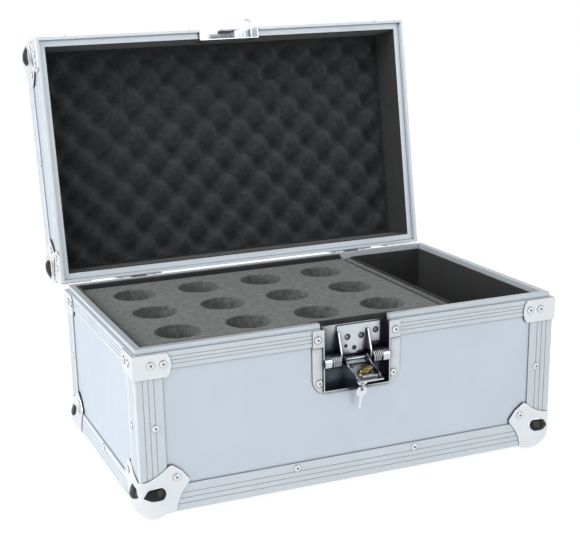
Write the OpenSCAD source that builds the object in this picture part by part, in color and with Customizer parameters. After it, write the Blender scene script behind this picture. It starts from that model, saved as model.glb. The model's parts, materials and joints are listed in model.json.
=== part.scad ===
// Twelve-well microphone case: panel box with aluminium edging, ball corners,
// a stop-hinged lid and a recessed hook latch with a key lock.
// The lid is shown open, at its hinge stop. Origin: floor, centre of the footprint.

/* [Case] */
// Outside width of the case, over the edge angles
case_w = 500; // [440:1:700]
// Outside depth of the case, over the edge angles
case_d = 300; // [280:1:420]
// Height of the base, from its lower edge to the joint with the lid
base_h = 177.5; // [160:0.5:260]
// Height of the lid, from the joint to its top
lid_h = 83; // [81:0.5:140]
// Thickness of the wall panels
panel_t = 7; // [5:0.5:9]
// How far the lid opens
lid_open_deg = 99.4; // [90:0.1:110]
// Gap between the rims when the lid is closed
joint_gap = 0.3; // [0.2:0.1:0.6]

/* [Edging] */
// Thickness of the edge angles and of the rim flanges
angle_t = 1.5; // [1:0.1:2]
// Width of an edge angle's leg
angle_leg = 30; // [24:1:34]
// Outer corner radius of the edge angles
angle_r = 2; // [1.5:0.1:2.4]
// Height of the rim extrusions on the outside
rim_h = 18; // [15:0.5:22]
// Height of the base rim's tongue
tongue_h = 5.6; // [3:0.1:7]
// Width of the shoulder outside the tongue
shoulder = 3.5; // [2.5:0.1:4.5]
// Thickness of the rim's inner flange
rim_inner_t = 2.1; // [1.5:0.1:3]
// Depth of the decorative grooves
groove_d = 0.4; // [0.2:0.1:0.7]
// Width of the decorative grooves
groove_w = 0.9; // [0.5:0.1:1.5]

/* [Ball corners] */
// Sheet thickness of the ball corners and brackets
sheet_t = 1.3; // [0.8:0.1:1.8]
// Radius of the pressed ball
ball_r = 24.4; // [24:0.1:26]
// Distance of the ball's centre from the two side faces
ball_in = 17.5; // [16:0.5:20]
// Distance of the ball's centre from the lower or upper face
ball_up = 15.2; // [14:0.1:18]
// How much of each lower ball is flattened where it stands on the floor
foot_flat = 0.2; // [0.1:0.1:1]
// Where the cut corner of the box starts, along each edge
corner_cut = 34; // [30:0.5:36]
// Distance of a corner rivet from both edges
petal_rivet = 40; // [38:0.5:41]
// Length of an L bracket's leg
bracket_leg = 40; // [36:0.5:46]
// Height of an L bracket
bracket_h = 26; // [22:0.5:28]

/* [Rivets] */
// Radius of a rivet's head
rivet_r = 4; // [3:0.1:5]
// Height of a rivet's head
rivet_head_h = 1.3; // [0.8:0.1:2]
// Radius of a rivet's shank
shank_r = 2.4; // [1.6:0.1:2.8]
// Length of a rivet's shank below its head
shank_l = 7.5; // [6:0.1:8]

/* [Interior] */
// Wells across the width
wells_x = 4; // [2:1:4]
// Wells across the depth
wells_y = 3; // [2:1:3]
// Spacing of the wells across the width
well_pitch_x = 82; // [70:0.5:84]
// Spacing of the wells across the depth
well_pitch_y = 83; // [70:0.5:86]
// Distance of the first well from the left face
well_first_x = 70; // [60:0.5:72]
// Radius of a well's upper pocket
well_r = 25.5; // [20:0.1:30]
// Depth of the upper pocket
well_d = 28; // [20:0.5:40]
// Radius of a well's lower bore
bore_r = 20; // [14:0.1:22]
// Full depth of a well
bore_d = 150; // [110:0.5:155]
// Right edge of the foam insert, from the left face
insert_end = 370; // [365:0.5:374]
// Gap around the foam insert
insert_gap = 0.9; // [0.5:0.1:2]
// Left face of the divider, from the left face of the case
divider_x = 376; // [372:0.5:385]
// Thickness of the divider
divider_t = 10; // [6:0.5:12]
// Thickness of the lining sheets
lining_t = 1.2; // [0.8:0.1:2]
// Full thickness of the egg-crate foam
crate_t = 27; // [20:0.5:40]
// Thickness of the egg-crate foam at its hollows
crate_base_t = 7; // [5:0.5:12]
// Distance from peak to peak along a row of the egg-crate foam
crate_pitch = 48.3; // [36:0.1:60]

/* [Hinges] */
// Hinge axis behind the back face
hinge_back = 8.1; // [7.8:0.1:10]
// Hinge axis below the joint
hinge_drop = 3.5; // [3:0.1:5]
// Radius of the hinge knuckles
knuckle_r = 5; // [4:0.1:5.2]
// Radius of the hinge pins
hinge_pin_r = 2; // [1.5:0.1:2.5]
// Width of a hinge
hinge_w = 60; // [40:1:90]
// Width of the middle knuckle
knuckle_w = 20; // [12:1:30]
// Distance of each hinge from the middle of the case
hinge_x = 150; // [100:1:180]
// Thickness of the hinge leaves
leaf_t = 2; // [1.5:0.1:2.5]

/* [Latch] */
// Width of the latch dish's flange
dish_flange_w = 105; // [98:0.5:120]
// Height of the flange below the joint
dish_flange_h = 73; // [72:0.5:85]
// Width of the dish's recess
dish_w = 77.6; // [74:0.2:86]
// Depth of the recess behind the front face
dish_d = 12; // [11:0.5:16]
// Bottom of the recess below the joint
dish_h = 69.5; // [66:0.5:71]
// Wall thickness of the dish
dish_t = 1.2; // [0.8:0.1:2]
// Width of the cut-out in the base rim
rim_cut_w = 83.7; // [80:0.1:90]
// Lever axis below the joint
lever_drop = 38.5; // [37:0.5:42]
// Lever axis behind the front face
lever_in = 4; // [3.5:0.1:5]
// Width of the lever
lever_w = 28.6; // [28:0.1:32]
// Length of the lever from its axis
lever_l = 41; // [40:0.5:44]
// How far the open lever hangs below level
lever_hang_deg = 12.8; // [0:0.1:30]
// Radius of the lever's pin
lever_pin_r = 2; // [1.5:0.1:2.5]
// Mean radius of the latch springs
spring_r = 7; // [5:0.1:8]
// Radius of the spring wire
spring_wire_r = 0.9; // [0.6:0.05:1]
// Turns of each latch spring
spring_turns = 4; // [3:1:4]
// Distance from turn to turn
spring_pitch = 2.5; // [2.4:0.1:2.6]
// Radius of the lock barrel
barrel_r = 6; // [5:0.1:6.5]
// Lock barrel's distance from the lever's axis
barrel_z = 22; // [20:0.5:22.5]
// Width of the lid's catch tongue
catch_w = 23; // [20:0.5:24]
// Reach of the catch tongue below the joint
catch_drop = 9; // [8.5:0.1:9.5]
// Sideways place of the padlock eye
eye_x = 28; // [24:0.5:31]

/* [Keys] */
// Width of a key's bow
key_bow_r = 6.5; // [5:0.1:7.5]
// Thickness of a key
key_t = 1.8; // [1.4:0.1:2.2]
// Radius of the hole in a key's bow
key_hole_r = 1.9; // [1.7:0.1:2.1]
// Mean radius of the key ring
ring_r = 4.6; // [4.4:0.1:6]
// Radius of the ring's wire
ring_wire_r = 0.7; // [0.5:0.05:0.8]
// Length of the spare key's blade
blade_l = 15; // [12:0.5:22]

/* [Handle] */
// Distance between the handle's arms
handle_w = 110; // [90:1:150]
// Distance from the handle's axis to its grip
handle_reach = 38; // [32:1:48]
// Radius of the handle's grip
grip_r = 7; // [6:0.1:7.5]
// Radius of the handle's rod
rod_r = 2.5; // [2:0.1:3]
// Height of the handle's axis above the lid panel
handle_up = 8.5; // [8.2:0.1:10]

/* [Hidden] */
$fn = 48;

fit = 0.05;                                  // running clearance on pins and shanks
eps = 0.5;                                   // overshoot of cuts
panel_out = angle_t;                         // panel's outer face, in from the outside
panel_in = angle_t + panel_t;                // panel's inner face
rim_in = panel_in + rim_inner_t;             // rim's inner edge
web_h = 4;                                   // solid web of the base rim above the panel
inner_flange_h = 14;                         // height of the rims' inner flange
rebate_h = tongue_h + 0.6;                   // groove in the lid rim for the tongue
lid_web_h = rebate_h + 3.3;                  // top of the lid rim's web
rebate_in = shoulder - 0.3;                  // start of the groove, in from the outside
foot_h = ball_r - ball_up - foot_flat;       // height that the balls lift the base
z_joint = foot_h + base_h;
z_lid = z_joint + joint_gap;
cut_r = corner_cut * sqrt(2);                // sphere that rounds the box's corners
lid_axis = [0, case_d / 2 + hinge_back, z_joint - hinge_drop];
lever_axis = [0, -case_d / 2 + lever_in, z_joint - lever_drop];
lever_open_deg = 90 + lever_hang_deg;
handle_axis = [0, 0, z_lid + lid_h - angle_t + handle_up];
handle_lie_deg = lid_open_deg - 90;          // hangs plumb behind the open lid
lever_face = lever_in + 1.5;                 // outer face of the shut lever, before its axis
well_z = z_joint - 0.5;                      // top of the foam insert
bracket_rivets = [17.8, 31.3];
base_bracket_rivet = 11.7;                   // rivets below or above the joint
lid_bracket_rivet = 15.9;
upright_rivet = [20, 97];
edge_rivet_up = 24.3;                        // rivets of the bottom angles
edge_rivet_in = 178;
lid_edge_rivet_down = 25;
dish_edge = dish_w / 2 + dish_t;             // outer side of the recess
dish_rivets = [[(dish_edge + dish_flange_w / 2) / 2, rim_h - 7.5],
    [dish_edge + rivet_r + 0.4, dish_flange_h - 13]];
hinge_rivets = [-22, 0, 22];
hinge_rivet_z = 13;
eye_z = 6;
spring_start = 18.5;                         // outer faces of the frame's ears
spring_len = 12.4;
boss_r = dish_d - lever_in - 0.1;            // the springs' outer ends bear on the bosses
window = [20, 8];                            // hole in the catch tongue for the hook
alu = "#c8d2da";
steel = "#e4e8ec";
dark = "#26292b";

// ---- placing -------------------------------------------------------------

// Swings a closed-lid shape to the open lid
module lid_pose() {
    translate(lid_axis) rotate([-lid_open_deg, 0, 0]) translate(-lid_axis) children();
}

// Swings a shut-lever shape, drawn from the lever's axis, to the open lever
module lever_pose() {
    translate(lever_axis) rotate([lever_open_deg, 0, 0]) children();
}

// Face frame: x along the face from its left edge, y up, z outwards.
// Faces: 0 front, 1 right, 2 back, 3 left.
module on_face(face, z0) {
    sx = (face == 0 || face == 3) ? -1 : 1;
    sy = (face == 0 || face == 1) ? -1 : 1;
    translate([sx * case_w / 2, sy * case_d / 2, z0]) rotate([0, 0, 90 * face])
        rotate([90, 0, 0]) children();
}
function face_len(face) = face % 2 == 0 ? case_w : case_d;

// Corner frame: x, y and z run along the three edges into the case
module at_corners(z0, up) {
    for (sx = [0, 1], sy = [0, 1])
        translate([sx ? case_w / 2 : -case_w / 2, sy ? case_d / 2 : -case_d / 2, z0])
            mirror([sx, 0, 0]) mirror([0, sy, 0]) mirror([0, 0, up ? 0 : 1]) children();
}
module at_base_corners() { at_corners(foot_h, true) children(); }
module at_lid_corners() { at_corners(z_lid + lid_h, false) children(); }

// ---- rivets --------------------------------------------------------------

// Blind rivet with its head on z = 0
module rivet() {
    difference() {
        union() {
            rotate_extrude() polygon([[0, 0], [rivet_r, 0], [rivet_r, rivet_head_h * 0.4],
                [rivet_r * 0.72, rivet_head_h], [0, rivet_head_h]]);
            translate([0, 0, -shank_l]) cylinder(r = shank_r, h = shank_l + 0.1);
        }
        translate([0, 0, 0.2]) cylinder(r = shank_r * 0.5, h = rivet_head_h + eps);
    }
}
module shank_hole() {
    translate([0, 0, -shank_l - fit]) cylinder(r = shank_r + fit, h = shank_l + 4);
}

module bracket_places(z) {
    for (face = [0:3], u = bracket_rivets, side = [0, 1])
        on_face(face, 0) translate([side ? face_len(face) - u : u, z, sheet_t]) children();
}
module base_bracket_places() { bracket_places(z_joint - base_bracket_rivet) children(); }
module lid_bracket_places() { bracket_places(z_lid + lid_bracket_rivet) children(); }
// Corner frame places of the three petal rivets
module petal_places() {
    translate([petal_rivet, -sheet_t, petal_rivet]) rotate([90, 0, 0]) children();
    translate([-sheet_t, petal_rivet, petal_rivet]) rotate([0, -90, 0]) children();
    translate([petal_rivet, petal_rivet, -sheet_t]) rotate([180, 0, 0]) children();
}
module upright_places() {
    for (face = [0:3], side = [0, 1])
        on_face(face, foot_h) translate([side ? face_len(face) - upright_rivet[0]
            : upright_rivet[0], upright_rivet[1], 0]) children();
}
module edge_places(face, z) {
    mid = face_len(face) / 2;
    shift = face % 2 == 0 ? case_w / 2 - edge_rivet_in : 0;
    for (u = shift > 0 ? [mid - shift, mid + shift] : [mid])
        on_face(face, z) translate([u, 0, 0]) children();
}
module base_edge_places(face) { edge_places(face, foot_h + edge_rivet_up) children(); }
module lid_edge_places(face) {
    edge_places(face, z_lid + lid_h - lid_edge_rivet_down) children();
}
module dish_places() {
    for (side = [-1, 1], i = [0, 1])
        on_face(0, z_joint) translate([case_w / 2 + side * dish_rivets[i][0],
            -dish_rivets[i][1], i == 0 ? dish_t : dish_t - angle_t]) children();
}
module hinge_places(z) {
    for (side = [-1, 1], u = hinge_rivets)
        on_face(2, z) translate([case_w / 2 + side * hinge_x + u, 0, leaf_t]) children();
}

// ---- panels --------------------------------------------------------------

// What the ball corner takes off the box: the corner outside the rounding sphere
module corner_bite() {
    difference() {
        translate([-eps, -eps, -eps]) cube(corner_cut + eps);
        translate([corner_cut, corner_cut, corner_cut]) sphere(r = cut_r, $fn = 96);
    }
}
// Upright wall between two heights, ends given in from the case's edges
module wall(face, ends, z0, z1) {
    on_face(face, z0) translate([ends, 0, -panel_in])
        cube([face_len(face) - 2 * ends, z1 - z0, panel_t]);
}
module base_wall(face) {
    difference() {
        wall(face, face % 2 == 0 ? panel_out : panel_in, foot_h + panel_out, z_joint - web_h);
        at_base_corners() corner_bite();
        at_base_corners() petal_places() shank_hole();
        base_bracket_places() shank_hole();
        upright_places() shank_hole();
        base_edge_places(face) shank_hole();
    }
}
module base_floor() color("#3a3d40") {
    difference() {
        translate([-case_w / 2 + panel_in, -case_d / 2 + panel_in, foot_h + panel_out])
            cube([case_w - 2 * panel_in, case_d - 2 * panel_in, panel_t]);
        at_base_corners() corner_bite();
        at_base_corners() petal_places() shank_hole();
    }
}
module dish_hole(grow) {
    w = dish_w + 2 * dish_t + 2 * grow;
    on_face(0, z_joint) translate([(case_w - w) / 2, -dish_h - dish_t - grow, -panel_in - eps])
        cube([w, dish_h + dish_t + grow + eps, panel_in + 2 * eps]);
}
module base_front_panel() color(alu) {
    difference() {
        base_wall(0);
        dish_hole(0.1);
        dish_places() shank_hole();
    }
}
module base_back_panel() color(alu) {
    difference() {
        base_wall(2);
        hinge_places(z_joint - hinge_rivet_z) shank_hole();
    }
}
module base_left_panel() color(alu) base_wall(3);
module base_right_panel() color(alu) base_wall(1);

// ---- rim extrusions ------------------------------------------------------

// Section of the base rim: x in from the outside, y up from the joint
module base_rim_section() {
    difference() {
        union() {
            translate([0, -rim_h]) square([panel_out, rim_h]);
            translate([0, -web_h]) square([rim_in, web_h]);
            translate([panel_in, -inner_flange_h]) square([rim_inner_t, inner_flange_h]);
            translate([shoulder, -eps]) square([rim_in - shoulder, tongue_h + eps]);
        }
        for (y = [4.5, 8.5, 12.5])
            translate([-eps, -y - groove_w]) square([groove_d + eps, groove_w]);
    }
}
// Section of the lid rim, with the groove that takes the tongue
module lid_rim_section() {
    difference() {
        union() {
            square([panel_out, rim_h]);
            square([rim_in, lid_web_h]);
            translate([panel_in, 0]) square([rim_inner_t, lid_web_h + 8]);
        }
        translate([rebate_in, -eps]) square([rim_in - rebate_in + eps, rebate_h + eps]);
        for (y = [4.5, 8.5, 12.5])
            translate([-eps, y]) square([groove_d + eps, groove_w]);
    }
}
// One mitred side of a rim frame
module rim_side(face, z0) {
    len = face_len(face);
    on_face(face, z0) intersection() {
        rotate([0, 90, 0]) linear_extrude(len) children();
        rotate([90, 0, 0]) translate([0, 0, -2 * rim_h]) linear_extrude(4 * rim_h)
            polygon([[0, 0], [len, 0], [len - 2 * rim_in, -2 * rim_in], [2 * rim_in, -2 * rim_in]]);
    }
}
module base_rim_side(face) {
    difference() {
        rim_side(face, z_joint) base_rim_section();
        base_bracket_places() shank_hole();
    }
}
module lid_rim_side(face) {
    difference() {
        rim_side(face, z_lid) lid_rim_section();
        lid_bracket_places() shank_hole();
    }
}
module rim_gap(w, z0, z1) {
    on_face(0, z0) translate([(case_w - w) / 2, 0, -rim_in - eps])
        cube([w, z1 - z0, rim_in + 2 * eps]);
}
module base_rim_front() color(alu) {
    difference() {
        base_rim_side(0);
        rim_gap(rim_cut_w, z_joint - rim_h - eps, z_joint + tongue_h + eps);
        dish_places() shank_hole();
    }
}
module base_rim_back() color(alu) {
    difference() {
        base_rim_side(2);
        hinge_places(z_joint - hinge_rivet_z) shank_hole();
    }
}
module base_rim_left() color(alu) base_rim_side(3);
module base_rim_right() color(alu) base_rim_side(1);

// ---- edge angles ---------------------------------------------------------

// L section with a rounded outer corner
module angle_section() {
    difference() {
        union() {
            translate([angle_r, 0]) square([angle_leg - angle_r, angle_t]);
            translate([0, angle_r]) square([angle_t, angle_leg - angle_r]);
            intersection() {
                translate([angle_r, angle_r]) circle(r = angle_r);
                square(angle_r);
            }
        }
        translate([angle_t, angle_t]) square(angle_leg);
    }
}
// The same with grooves along one leg (x) and, if both is set, along the other
module grooved_section(both) {
    difference() {
        angle_section();
        for (u = [8, 14, 20]) {
            translate([-eps, u]) square([groove_d + eps, groove_w]);
            if (both)
                translate([u, -eps]) square([groove_w, groove_d + eps]);
        }
    }
}
module base_upright_angles() color(alu) {
    difference() {
        at_base_corners() translate([0, 0, angle_leg])
            linear_extrude(base_h - rim_h - angle_leg) grooved_section(true);
        upright_places() shank_hole();
        at_base_corners() corner_bite();
    }
}
// Edge angle along the lower edge of a face, in a face frame that starts on that edge.
// Its flat leg stops short at the ends, where the next angle's flat leg lies.
module edge_angle(face) {
    len = face_len(face);
    ends = face % 2 == 0 ? 0 : angle_t;
    stop = face % 2 == 0 ? 0 : angle_leg;
    difference() {
        translate([ends, 0, 0]) rotate([0, 90, 0]) linear_extrude(len - 2 * ends)
            grooved_section(false);
        if (stop > 0)
            for (u = [-eps, len - stop])
                translate([u, -eps, -angle_leg - eps])
                    cube([stop + eps, angle_t + eps, angle_leg + eps - angle_t]);
    }
}
module base_bottom_angles() color(alu) {
    difference() {
        for (face = [0:3])
            on_face(face, foot_h) edge_angle(face);
        at_base_corners() corner_bite();
        for (face = [0:3])
            base_edge_places(face) shank_hole();
        at_base_corners() petal_places() shank_hole();
    }
}

// ---- brackets ------------------------------------------------------------

// L bracket in a corner frame, standing on z = 0, with arched ends
module bracket() {
    arch = 20;
    for (turn = [0, 1])
        mirror(turn ? [1, -1, 0] : [0, 0, 0])
            rotate([90, 0, 0]) linear_extrude(sheet_t) {
                translate([-sheet_t, 0]) square([bracket_leg - arch + sheet_t, bracket_h]);
                intersection() {
                    translate([bracket_leg - arch, bracket_h / 2]) circle(r = arch, $fn = 96);
                    translate([bracket_leg - arch, 0]) square([arch, bracket_h]);
                }
            }
}
module base_brackets() color(steel) {
    difference() {
        at_corners(z_joint - bracket_h - 0.2, true) bracket();
        base_bracket_places() shank_hole();
    }
}

// ---- ball corners --------------------------------------------------------

// Two circles [x, y, r] with the straight belt round both
function belt_side(a, b, side) = let (
        turn = atan2(b[1] - a[1], b[0] - a[0])
            + side * acos((a[2] - b[2]) / norm([b[0] - a[0], b[1] - a[1]])))
    [for (c = [a, b]) [c[0] + c[2] * cos(turn), c[1] + c[2] * sin(turn)]];
module belt(a, b) {
    up = belt_side(a, b, 1);
    down = belt_side(a, b, -1);
    polygon([up[0], up[1], down[1], down[0]]);
    for (c = [a, b])
        translate([c[0], c[1]]) circle(r = c[2]);
}
// Outline of a petal on one face, from the corner: a fish tail with two rounded tips,
// a swell between them and a hollow waist on either side
module petal() {
    swell = petal_rivet * [0.95, 0.95, 0.2875];
    tip = petal_rivet * [0.8625, 1.25, 0.1];
    waist = petal_rivet * [-0.105, 2.2225];
    waist_r = petal_rivet * 1.265;
    side = petal_rivet * 1.15;
    difference() {
        union() {
            polygon([[-sheet_t, -sheet_t], [-sheet_t, side], [tip[0], tip[1]], [swell[0], swell[1]],
                [tip[1], tip[0]], [side, -sheet_t]]);
            polygon([[-sheet_t, side], petal_rivet * [0.8, 1.315], [tip[0], tip[1]]]);
            polygon([[side, -sheet_t], petal_rivet * [1.315, 0.8], [tip[1], tip[0]]]);
            belt(tip, swell);
            belt([tip[1], tip[0], tip[2]], swell);
        }
        translate(waist) circle(r = waist_r, $fn = 192);
        translate([waist[1], waist[0]]) circle(r = waist_r, $fn = 192);
    }
}
// Solid that the insert's lens takes out of the ball, drawn on the y = 0 face.
// Its outline runs round a large circle, a body circle and a small tip circle.
function belt_angle(a, b, side) = atan2(b[1] - a[1], b[0] - a[0])
    + side * acos((a[2] - b[2]) / norm([b[0] - a[0], b[1] - a[1]]));
function arc_points(c, from, to, n) = [for (i = [0:n]) let (t = from + (to - from) * i / n)
    [c[0] + c[2] * cos(t), c[1] + c[2] * sin(t)]];
module lens_prism(grow) {
    large = ball_r * [0.135, 0.41, 0.258] + [0, 0, grow];
    body = ball_r * [-0.266, 0.393, 0.242] + [0, 0, grow];
    tip = ball_r * [-0.598, 0.299, 0.02] + [0, 0, grow];
    over = belt_angle(large, body, -1);
    under = belt_angle(large, body, 1);
    tip_over = belt_angle(body, tip, -1);
    tip_under = belt_angle(body, tip, 1);
    translate([ball_in, ball_up / 2, ball_up]) rotate([90, 0, 0])
        linear_extrude(ball_up + ball_r) polygon(concat(
            arc_points(large, under - 360, over, 16), arc_points(body, over, tip_over, 5),
            arc_points(tip, tip_over, tip_under, 3), arc_points(body, tip_under, under, 3)));
}
module both_sides() {
    children();
    mirror([1, -1, 0]) children();
}
// Inside of the pressed corner: the rounded box and the hollow of the ball
module corner_inside() {
    intersection() {
        cube(3 * corner_cut);
        translate([corner_cut, corner_cut, corner_cut]) sphere(r = cut_r, $fn = 96);
    }
    translate([ball_in, ball_in, ball_up]) sphere(r = ball_r - sheet_t, $fn = 96);
    translate([corner_cut, corner_cut, corner_cut]) cube(3 * corner_cut);
}
module ball_corner() {
    difference() {
        union() {
            intersection() {
                union() {
                    rotate([90, 0, 0]) linear_extrude(sheet_t) petal();
                    mirror([1, -1, 0]) rotate([90, 0, 0]) linear_extrude(sheet_t) petal();
                    translate([0, 0, -sheet_t]) linear_extrude(sheet_t) petal();
                    translate([-sheet_t, -sheet_t, -sheet_t]) cube(corner_cut);
                }
                translate([corner_cut, corner_cut, corner_cut])
                    sphere(r = cut_r + sheet_t, $fn = 96);
            }
            translate([ball_in, ball_in, ball_up]) sphere(r = ball_r, $fn = 96);
        }
        corner_inside();
        both_sides() lens_prism(0.1);
        petal_places() shank_hole();
    }
}
module corner_insert() {
    both_sides() difference() {
        intersection() {
            lens_prism(0);
            translate([ball_in, ball_in, ball_up]) sphere(r = ball_r + 1, $fn = 96);
        }
        corner_inside();
    }
}
module base_ball_corners() color(steel) {
    difference() {
        at_base_corners() ball_corner();
        translate([-case_w, -case_d, -20]) cube([2 * case_w, 2 * case_d, 20]);
    }
}
module base_corner_inserts() color(dark) at_base_corners() corner_insert();

module base_rivets() color(steel) {
    base_bracket_places() rivet();
    at_base_corners() petal_places() rivet();
    upright_places() rivet();
    for (face = [0:3])
        base_edge_places(face) rivet();
    dish_places() rivet();
    hinge_places(z_joint - hinge_rivet_z) rivet();
}

// ---- interior ------------------------------------------------------------

z_floor = foot_h + panel_in;
module foam_insert() color("#6e7070") {
    gap = rim_in + insert_gap;
    notch_w = dish_w + 2 * (dish_t + insert_gap);    // clears the back of the latch dish
    difference() {
        translate([-case_w / 2 + gap, -case_d / 2 + gap, z_floor])
            cube([insert_end - gap, case_d - 2 * gap, well_z - z_floor]);
        for (i = [0:wells_x - 1], j = [0:wells_y - 1])
            translate([-case_w / 2 + well_first_x + i * well_pitch_x,
                (j - (wells_y - 1) / 2) * well_pitch_y, well_z]) {
                translate([0, 0, -well_d]) cylinder(r = well_r, h = well_d + eps);
                translate([0, 0, -bore_d]) cylinder(r = bore_r, h = bore_d);
            }
        at_latch() translate([-notch_w / 2, 0, -dish_h - dish_t - insert_gap])
            cube([notch_w, dish_d + dish_t + insert_gap, dish_h + rim_h]);
    }
}
module divider() color("#3c4042") {
    translate([-case_w / 2 + divider_x, -case_d / 2 + rim_in + 0.1, z_floor])
        cube([divider_t, case_d - 2 * rim_in - 0.2, well_z - z_floor - 2.5]);
}
module compartment_lining() color(dark) {
    x0 = -case_w / 2 + divider_x + divider_t;
    y0 = -case_d / 2 + rim_in + 0.1;
    size = [case_w / 2 - rim_in - 0.1 - x0, -2 * y0, well_z - z_floor];
    translate([x0, y0, z_floor]) difference() {
        cube(size);
        translate([lining_t, lining_t, lining_t])
            cube([size[0] - 2 * lining_t, size[1] - 2 * lining_t, size[2]]);
    }
}

// ---- hinges --------------------------------------------------------------

// Section of a base leaf: x behind the back face, y up from the joint
module base_leaf_section(knuckle) {
    translate([0, -rim_h + 0.5]) square([leaf_t, rim_h - 1.5]);
    if (knuckle) {
        translate([leaf_t - 0.1, -hinge_drop - knuckle_r])
            square([hinge_back - leaf_t, knuckle_r]);
        translate([hinge_back, -hinge_drop]) circle(r = knuckle_r);
    }
}
// Section of a lid leaf: plate, arm over the axis, knuckle and stop lug
module lid_leaf_section(knuckle) {
    low = joint_gap + 3;
    translate([0, low]) square([leaf_t, rim_h + joint_gap - low]);
    if (knuckle) {
        polygon([[leaf_t - 0.1, low], [leaf_t - 0.1, low + 5], [hinge_back, knuckle_r - hinge_drop],
            [hinge_back, -hinge_drop], [hinge_back - knuckle_r * 0.8, knuckle_r * 0.6 - hinge_drop]]);
        translate([hinge_back, -hinge_drop]) circle(r = knuckle_r);
        translate([hinge_back, -hinge_drop]) rotate(stop_lug_deg)
            translate([0, -lug_half]) square([stop_lug_l, 2 * lug_half]);
    }
}
// The lug meets the base leaf when the lid is fully open
lug_half = 1.2;
lug_dip = atan2(3, hinge_back - leaf_t);
stop_lug_l = (hinge_back - leaf_t - 0.03 - lug_half * sin(lug_dip)) / cos(lug_dip);
stop_lug_deg = 180 + lid_open_deg + lug_dip;
module hinge_parts(z0, middle) {
    for (side = [-1, 1])
        translate([side * hinge_x, case_d / 2, z0]) rotate([90, 0, 90]) {
            outer = (hinge_w - knuckle_w) / 2;
            if (middle)
                translate([0, 0, -knuckle_w / 2 + 0.1]) linear_extrude(knuckle_w - 0.2)
                    children(1);
            else
                for (w = [-hinge_w / 2, knuckle_w / 2 + 0.1])
                    translate([0, 0, w]) linear_extrude(outer - 0.1) children(1);
            translate([0, 0, -hinge_w / 2]) linear_extrude(hinge_w) children(0);
        }
}
module hinge_bore() {
    translate([-case_w / 2, 0, 0] + lid_axis) rotate([0, 90, 0])
        cylinder(r = hinge_pin_r + fit, h = case_w);
}
module hinge_base_leaves() color(steel) {
    difference() {
        hinge_parts(z_joint, false) {
            base_leaf_section(false);
            base_leaf_section(true);
        }
        hinge_bore();
        hinge_places(z_joint - hinge_rivet_z) shank_hole();
    }
}
module hinge_lid_leaves() color(steel) lid_pose() {
    difference() {
        hinge_parts(z_joint, true) {
            lid_leaf_section(false);
            lid_leaf_section(true);
        }
        hinge_bore();
        hinge_places(z_joint + hinge_rivet_z) shank_hole();
    }
}
module hinge_pins() color(steel) {
    for (side = [-1, 1])
        translate([side * hinge_x - hinge_w / 2 - 1, lid_axis[1], lid_axis[2]])
            rotate([0, 90, 0]) cylinder(r = hinge_pin_r, h = hinge_w + 2);
}

// ---- latch ---------------------------------------------------------------

// Latch frame: x from the middle, y behind the front face, z up from the joint
module at_latch() { translate([0, -case_d / 2, z_joint]) children(); }
module flange_outline(h, top) {
    r = 18;
    translate([-dish_flange_w / 2, -h + r]) square([dish_flange_w, h - r + top]);
    translate([-dish_flange_w / 2 + r, -h]) square([dish_flange_w - 2 * r, r + eps]);
    for (side = [-1, 1])
        translate([side * (dish_flange_w / 2 - r), -h + r]) circle(r = r);
}
module latch_dish() color(steel) {
    difference() {
        at_latch() difference() {
            union() {
                translate([0, angle_t, 0]) rotate([90, 0, 0]) linear_extrude(dish_t)
                    flange_outline(dish_flange_h, -0.2);
                translate([-dish_flange_w / 2, -dish_t, -rim_h - dish_t - 0.1])
                    cube([dish_flange_w, dish_t, rim_h + dish_t - 0.1]);
                translate([-dish_flange_w / 2, -dish_t, -rim_h - dish_t - 0.1])
                    cube([dish_flange_w, angle_t + dish_t, dish_t]);
                translate([-dish_w / 2 - dish_t, -dish_t, -dish_h - dish_t])
                    cube([dish_w + 2 * dish_t, dish_d + 2 * dish_t, dish_h + dish_t - 0.2]);
            }
            translate([-dish_w / 2, -dish_t - eps, -dish_h])
                cube([dish_w, dish_d + dish_t + eps, dish_h + eps]);
            for (side = [0, 1])
                mirror([side, 0, 0]) translate([dish_w / 2 + dish_t, 0, -rim_h - 0.1])
                    cube([dish_flange_w, angle_t + 0.01, rim_h + 1]);
        }
        dish_places() shank_hole();
        lever_bore(fit);
    }
}
module lever_bore(clear) {
    translate([-dish_flange_w / 2, 0, 0] + lever_axis) rotate([0, 90, 0])
        cylinder(r = lever_pin_r + clear, h = dish_flange_w);
}
// U bracket behind the lever, whose ears carry the pin
module latch_frame() color(steel) {
    plate_t = 1.5;
    back = dish_d;
    ear_out = spring_start;
    low = 0.208 * lever_drop;
    high = 0.78 * lever_drop;
    side_w = 0.44 * dish_w;
    side_h = 0.345 * dish_h;
    difference() {
        union() {
            at_latch() translate([-ear_out, back - plate_t, -lever_drop - low])
                cube([2 * ear_out, plate_t, lever_drop + low - 2]);
            at_latch() translate([ear_out - 0.1, back - plate_t, -side_h])
                cube([side_w - ear_out, plate_t, side_h - 2]);
            for (side = [-1, 1])
                at_latch() translate([side > 0 ? ear_out - plate_t : -ear_out, 0, -lever_drop])
                    rotate([90, 0, 90]) linear_extrude(plate_t) {
                        polygon([[back, -low], [back, high], [back - lever_in, high], [0, low],
                            [0, 0], [lever_in, -0.6 * low], [1.75 * lever_in, -low]]);
                    }
        }
        lever_bore(fit);
        for (hole = [[-6, -15.5, 3.6], [10.6, -15.5, 3.6], [28, -11.5, 3.6], [2, -28.5, 2.6],
            [-8, -25.5, 2]])
            at_latch() translate([hole[0], 0, hole[1]]) rotate([-90, 0, 0])
                cylinder(r = hole[2], h = dish_d + eps);
    }
}
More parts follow.
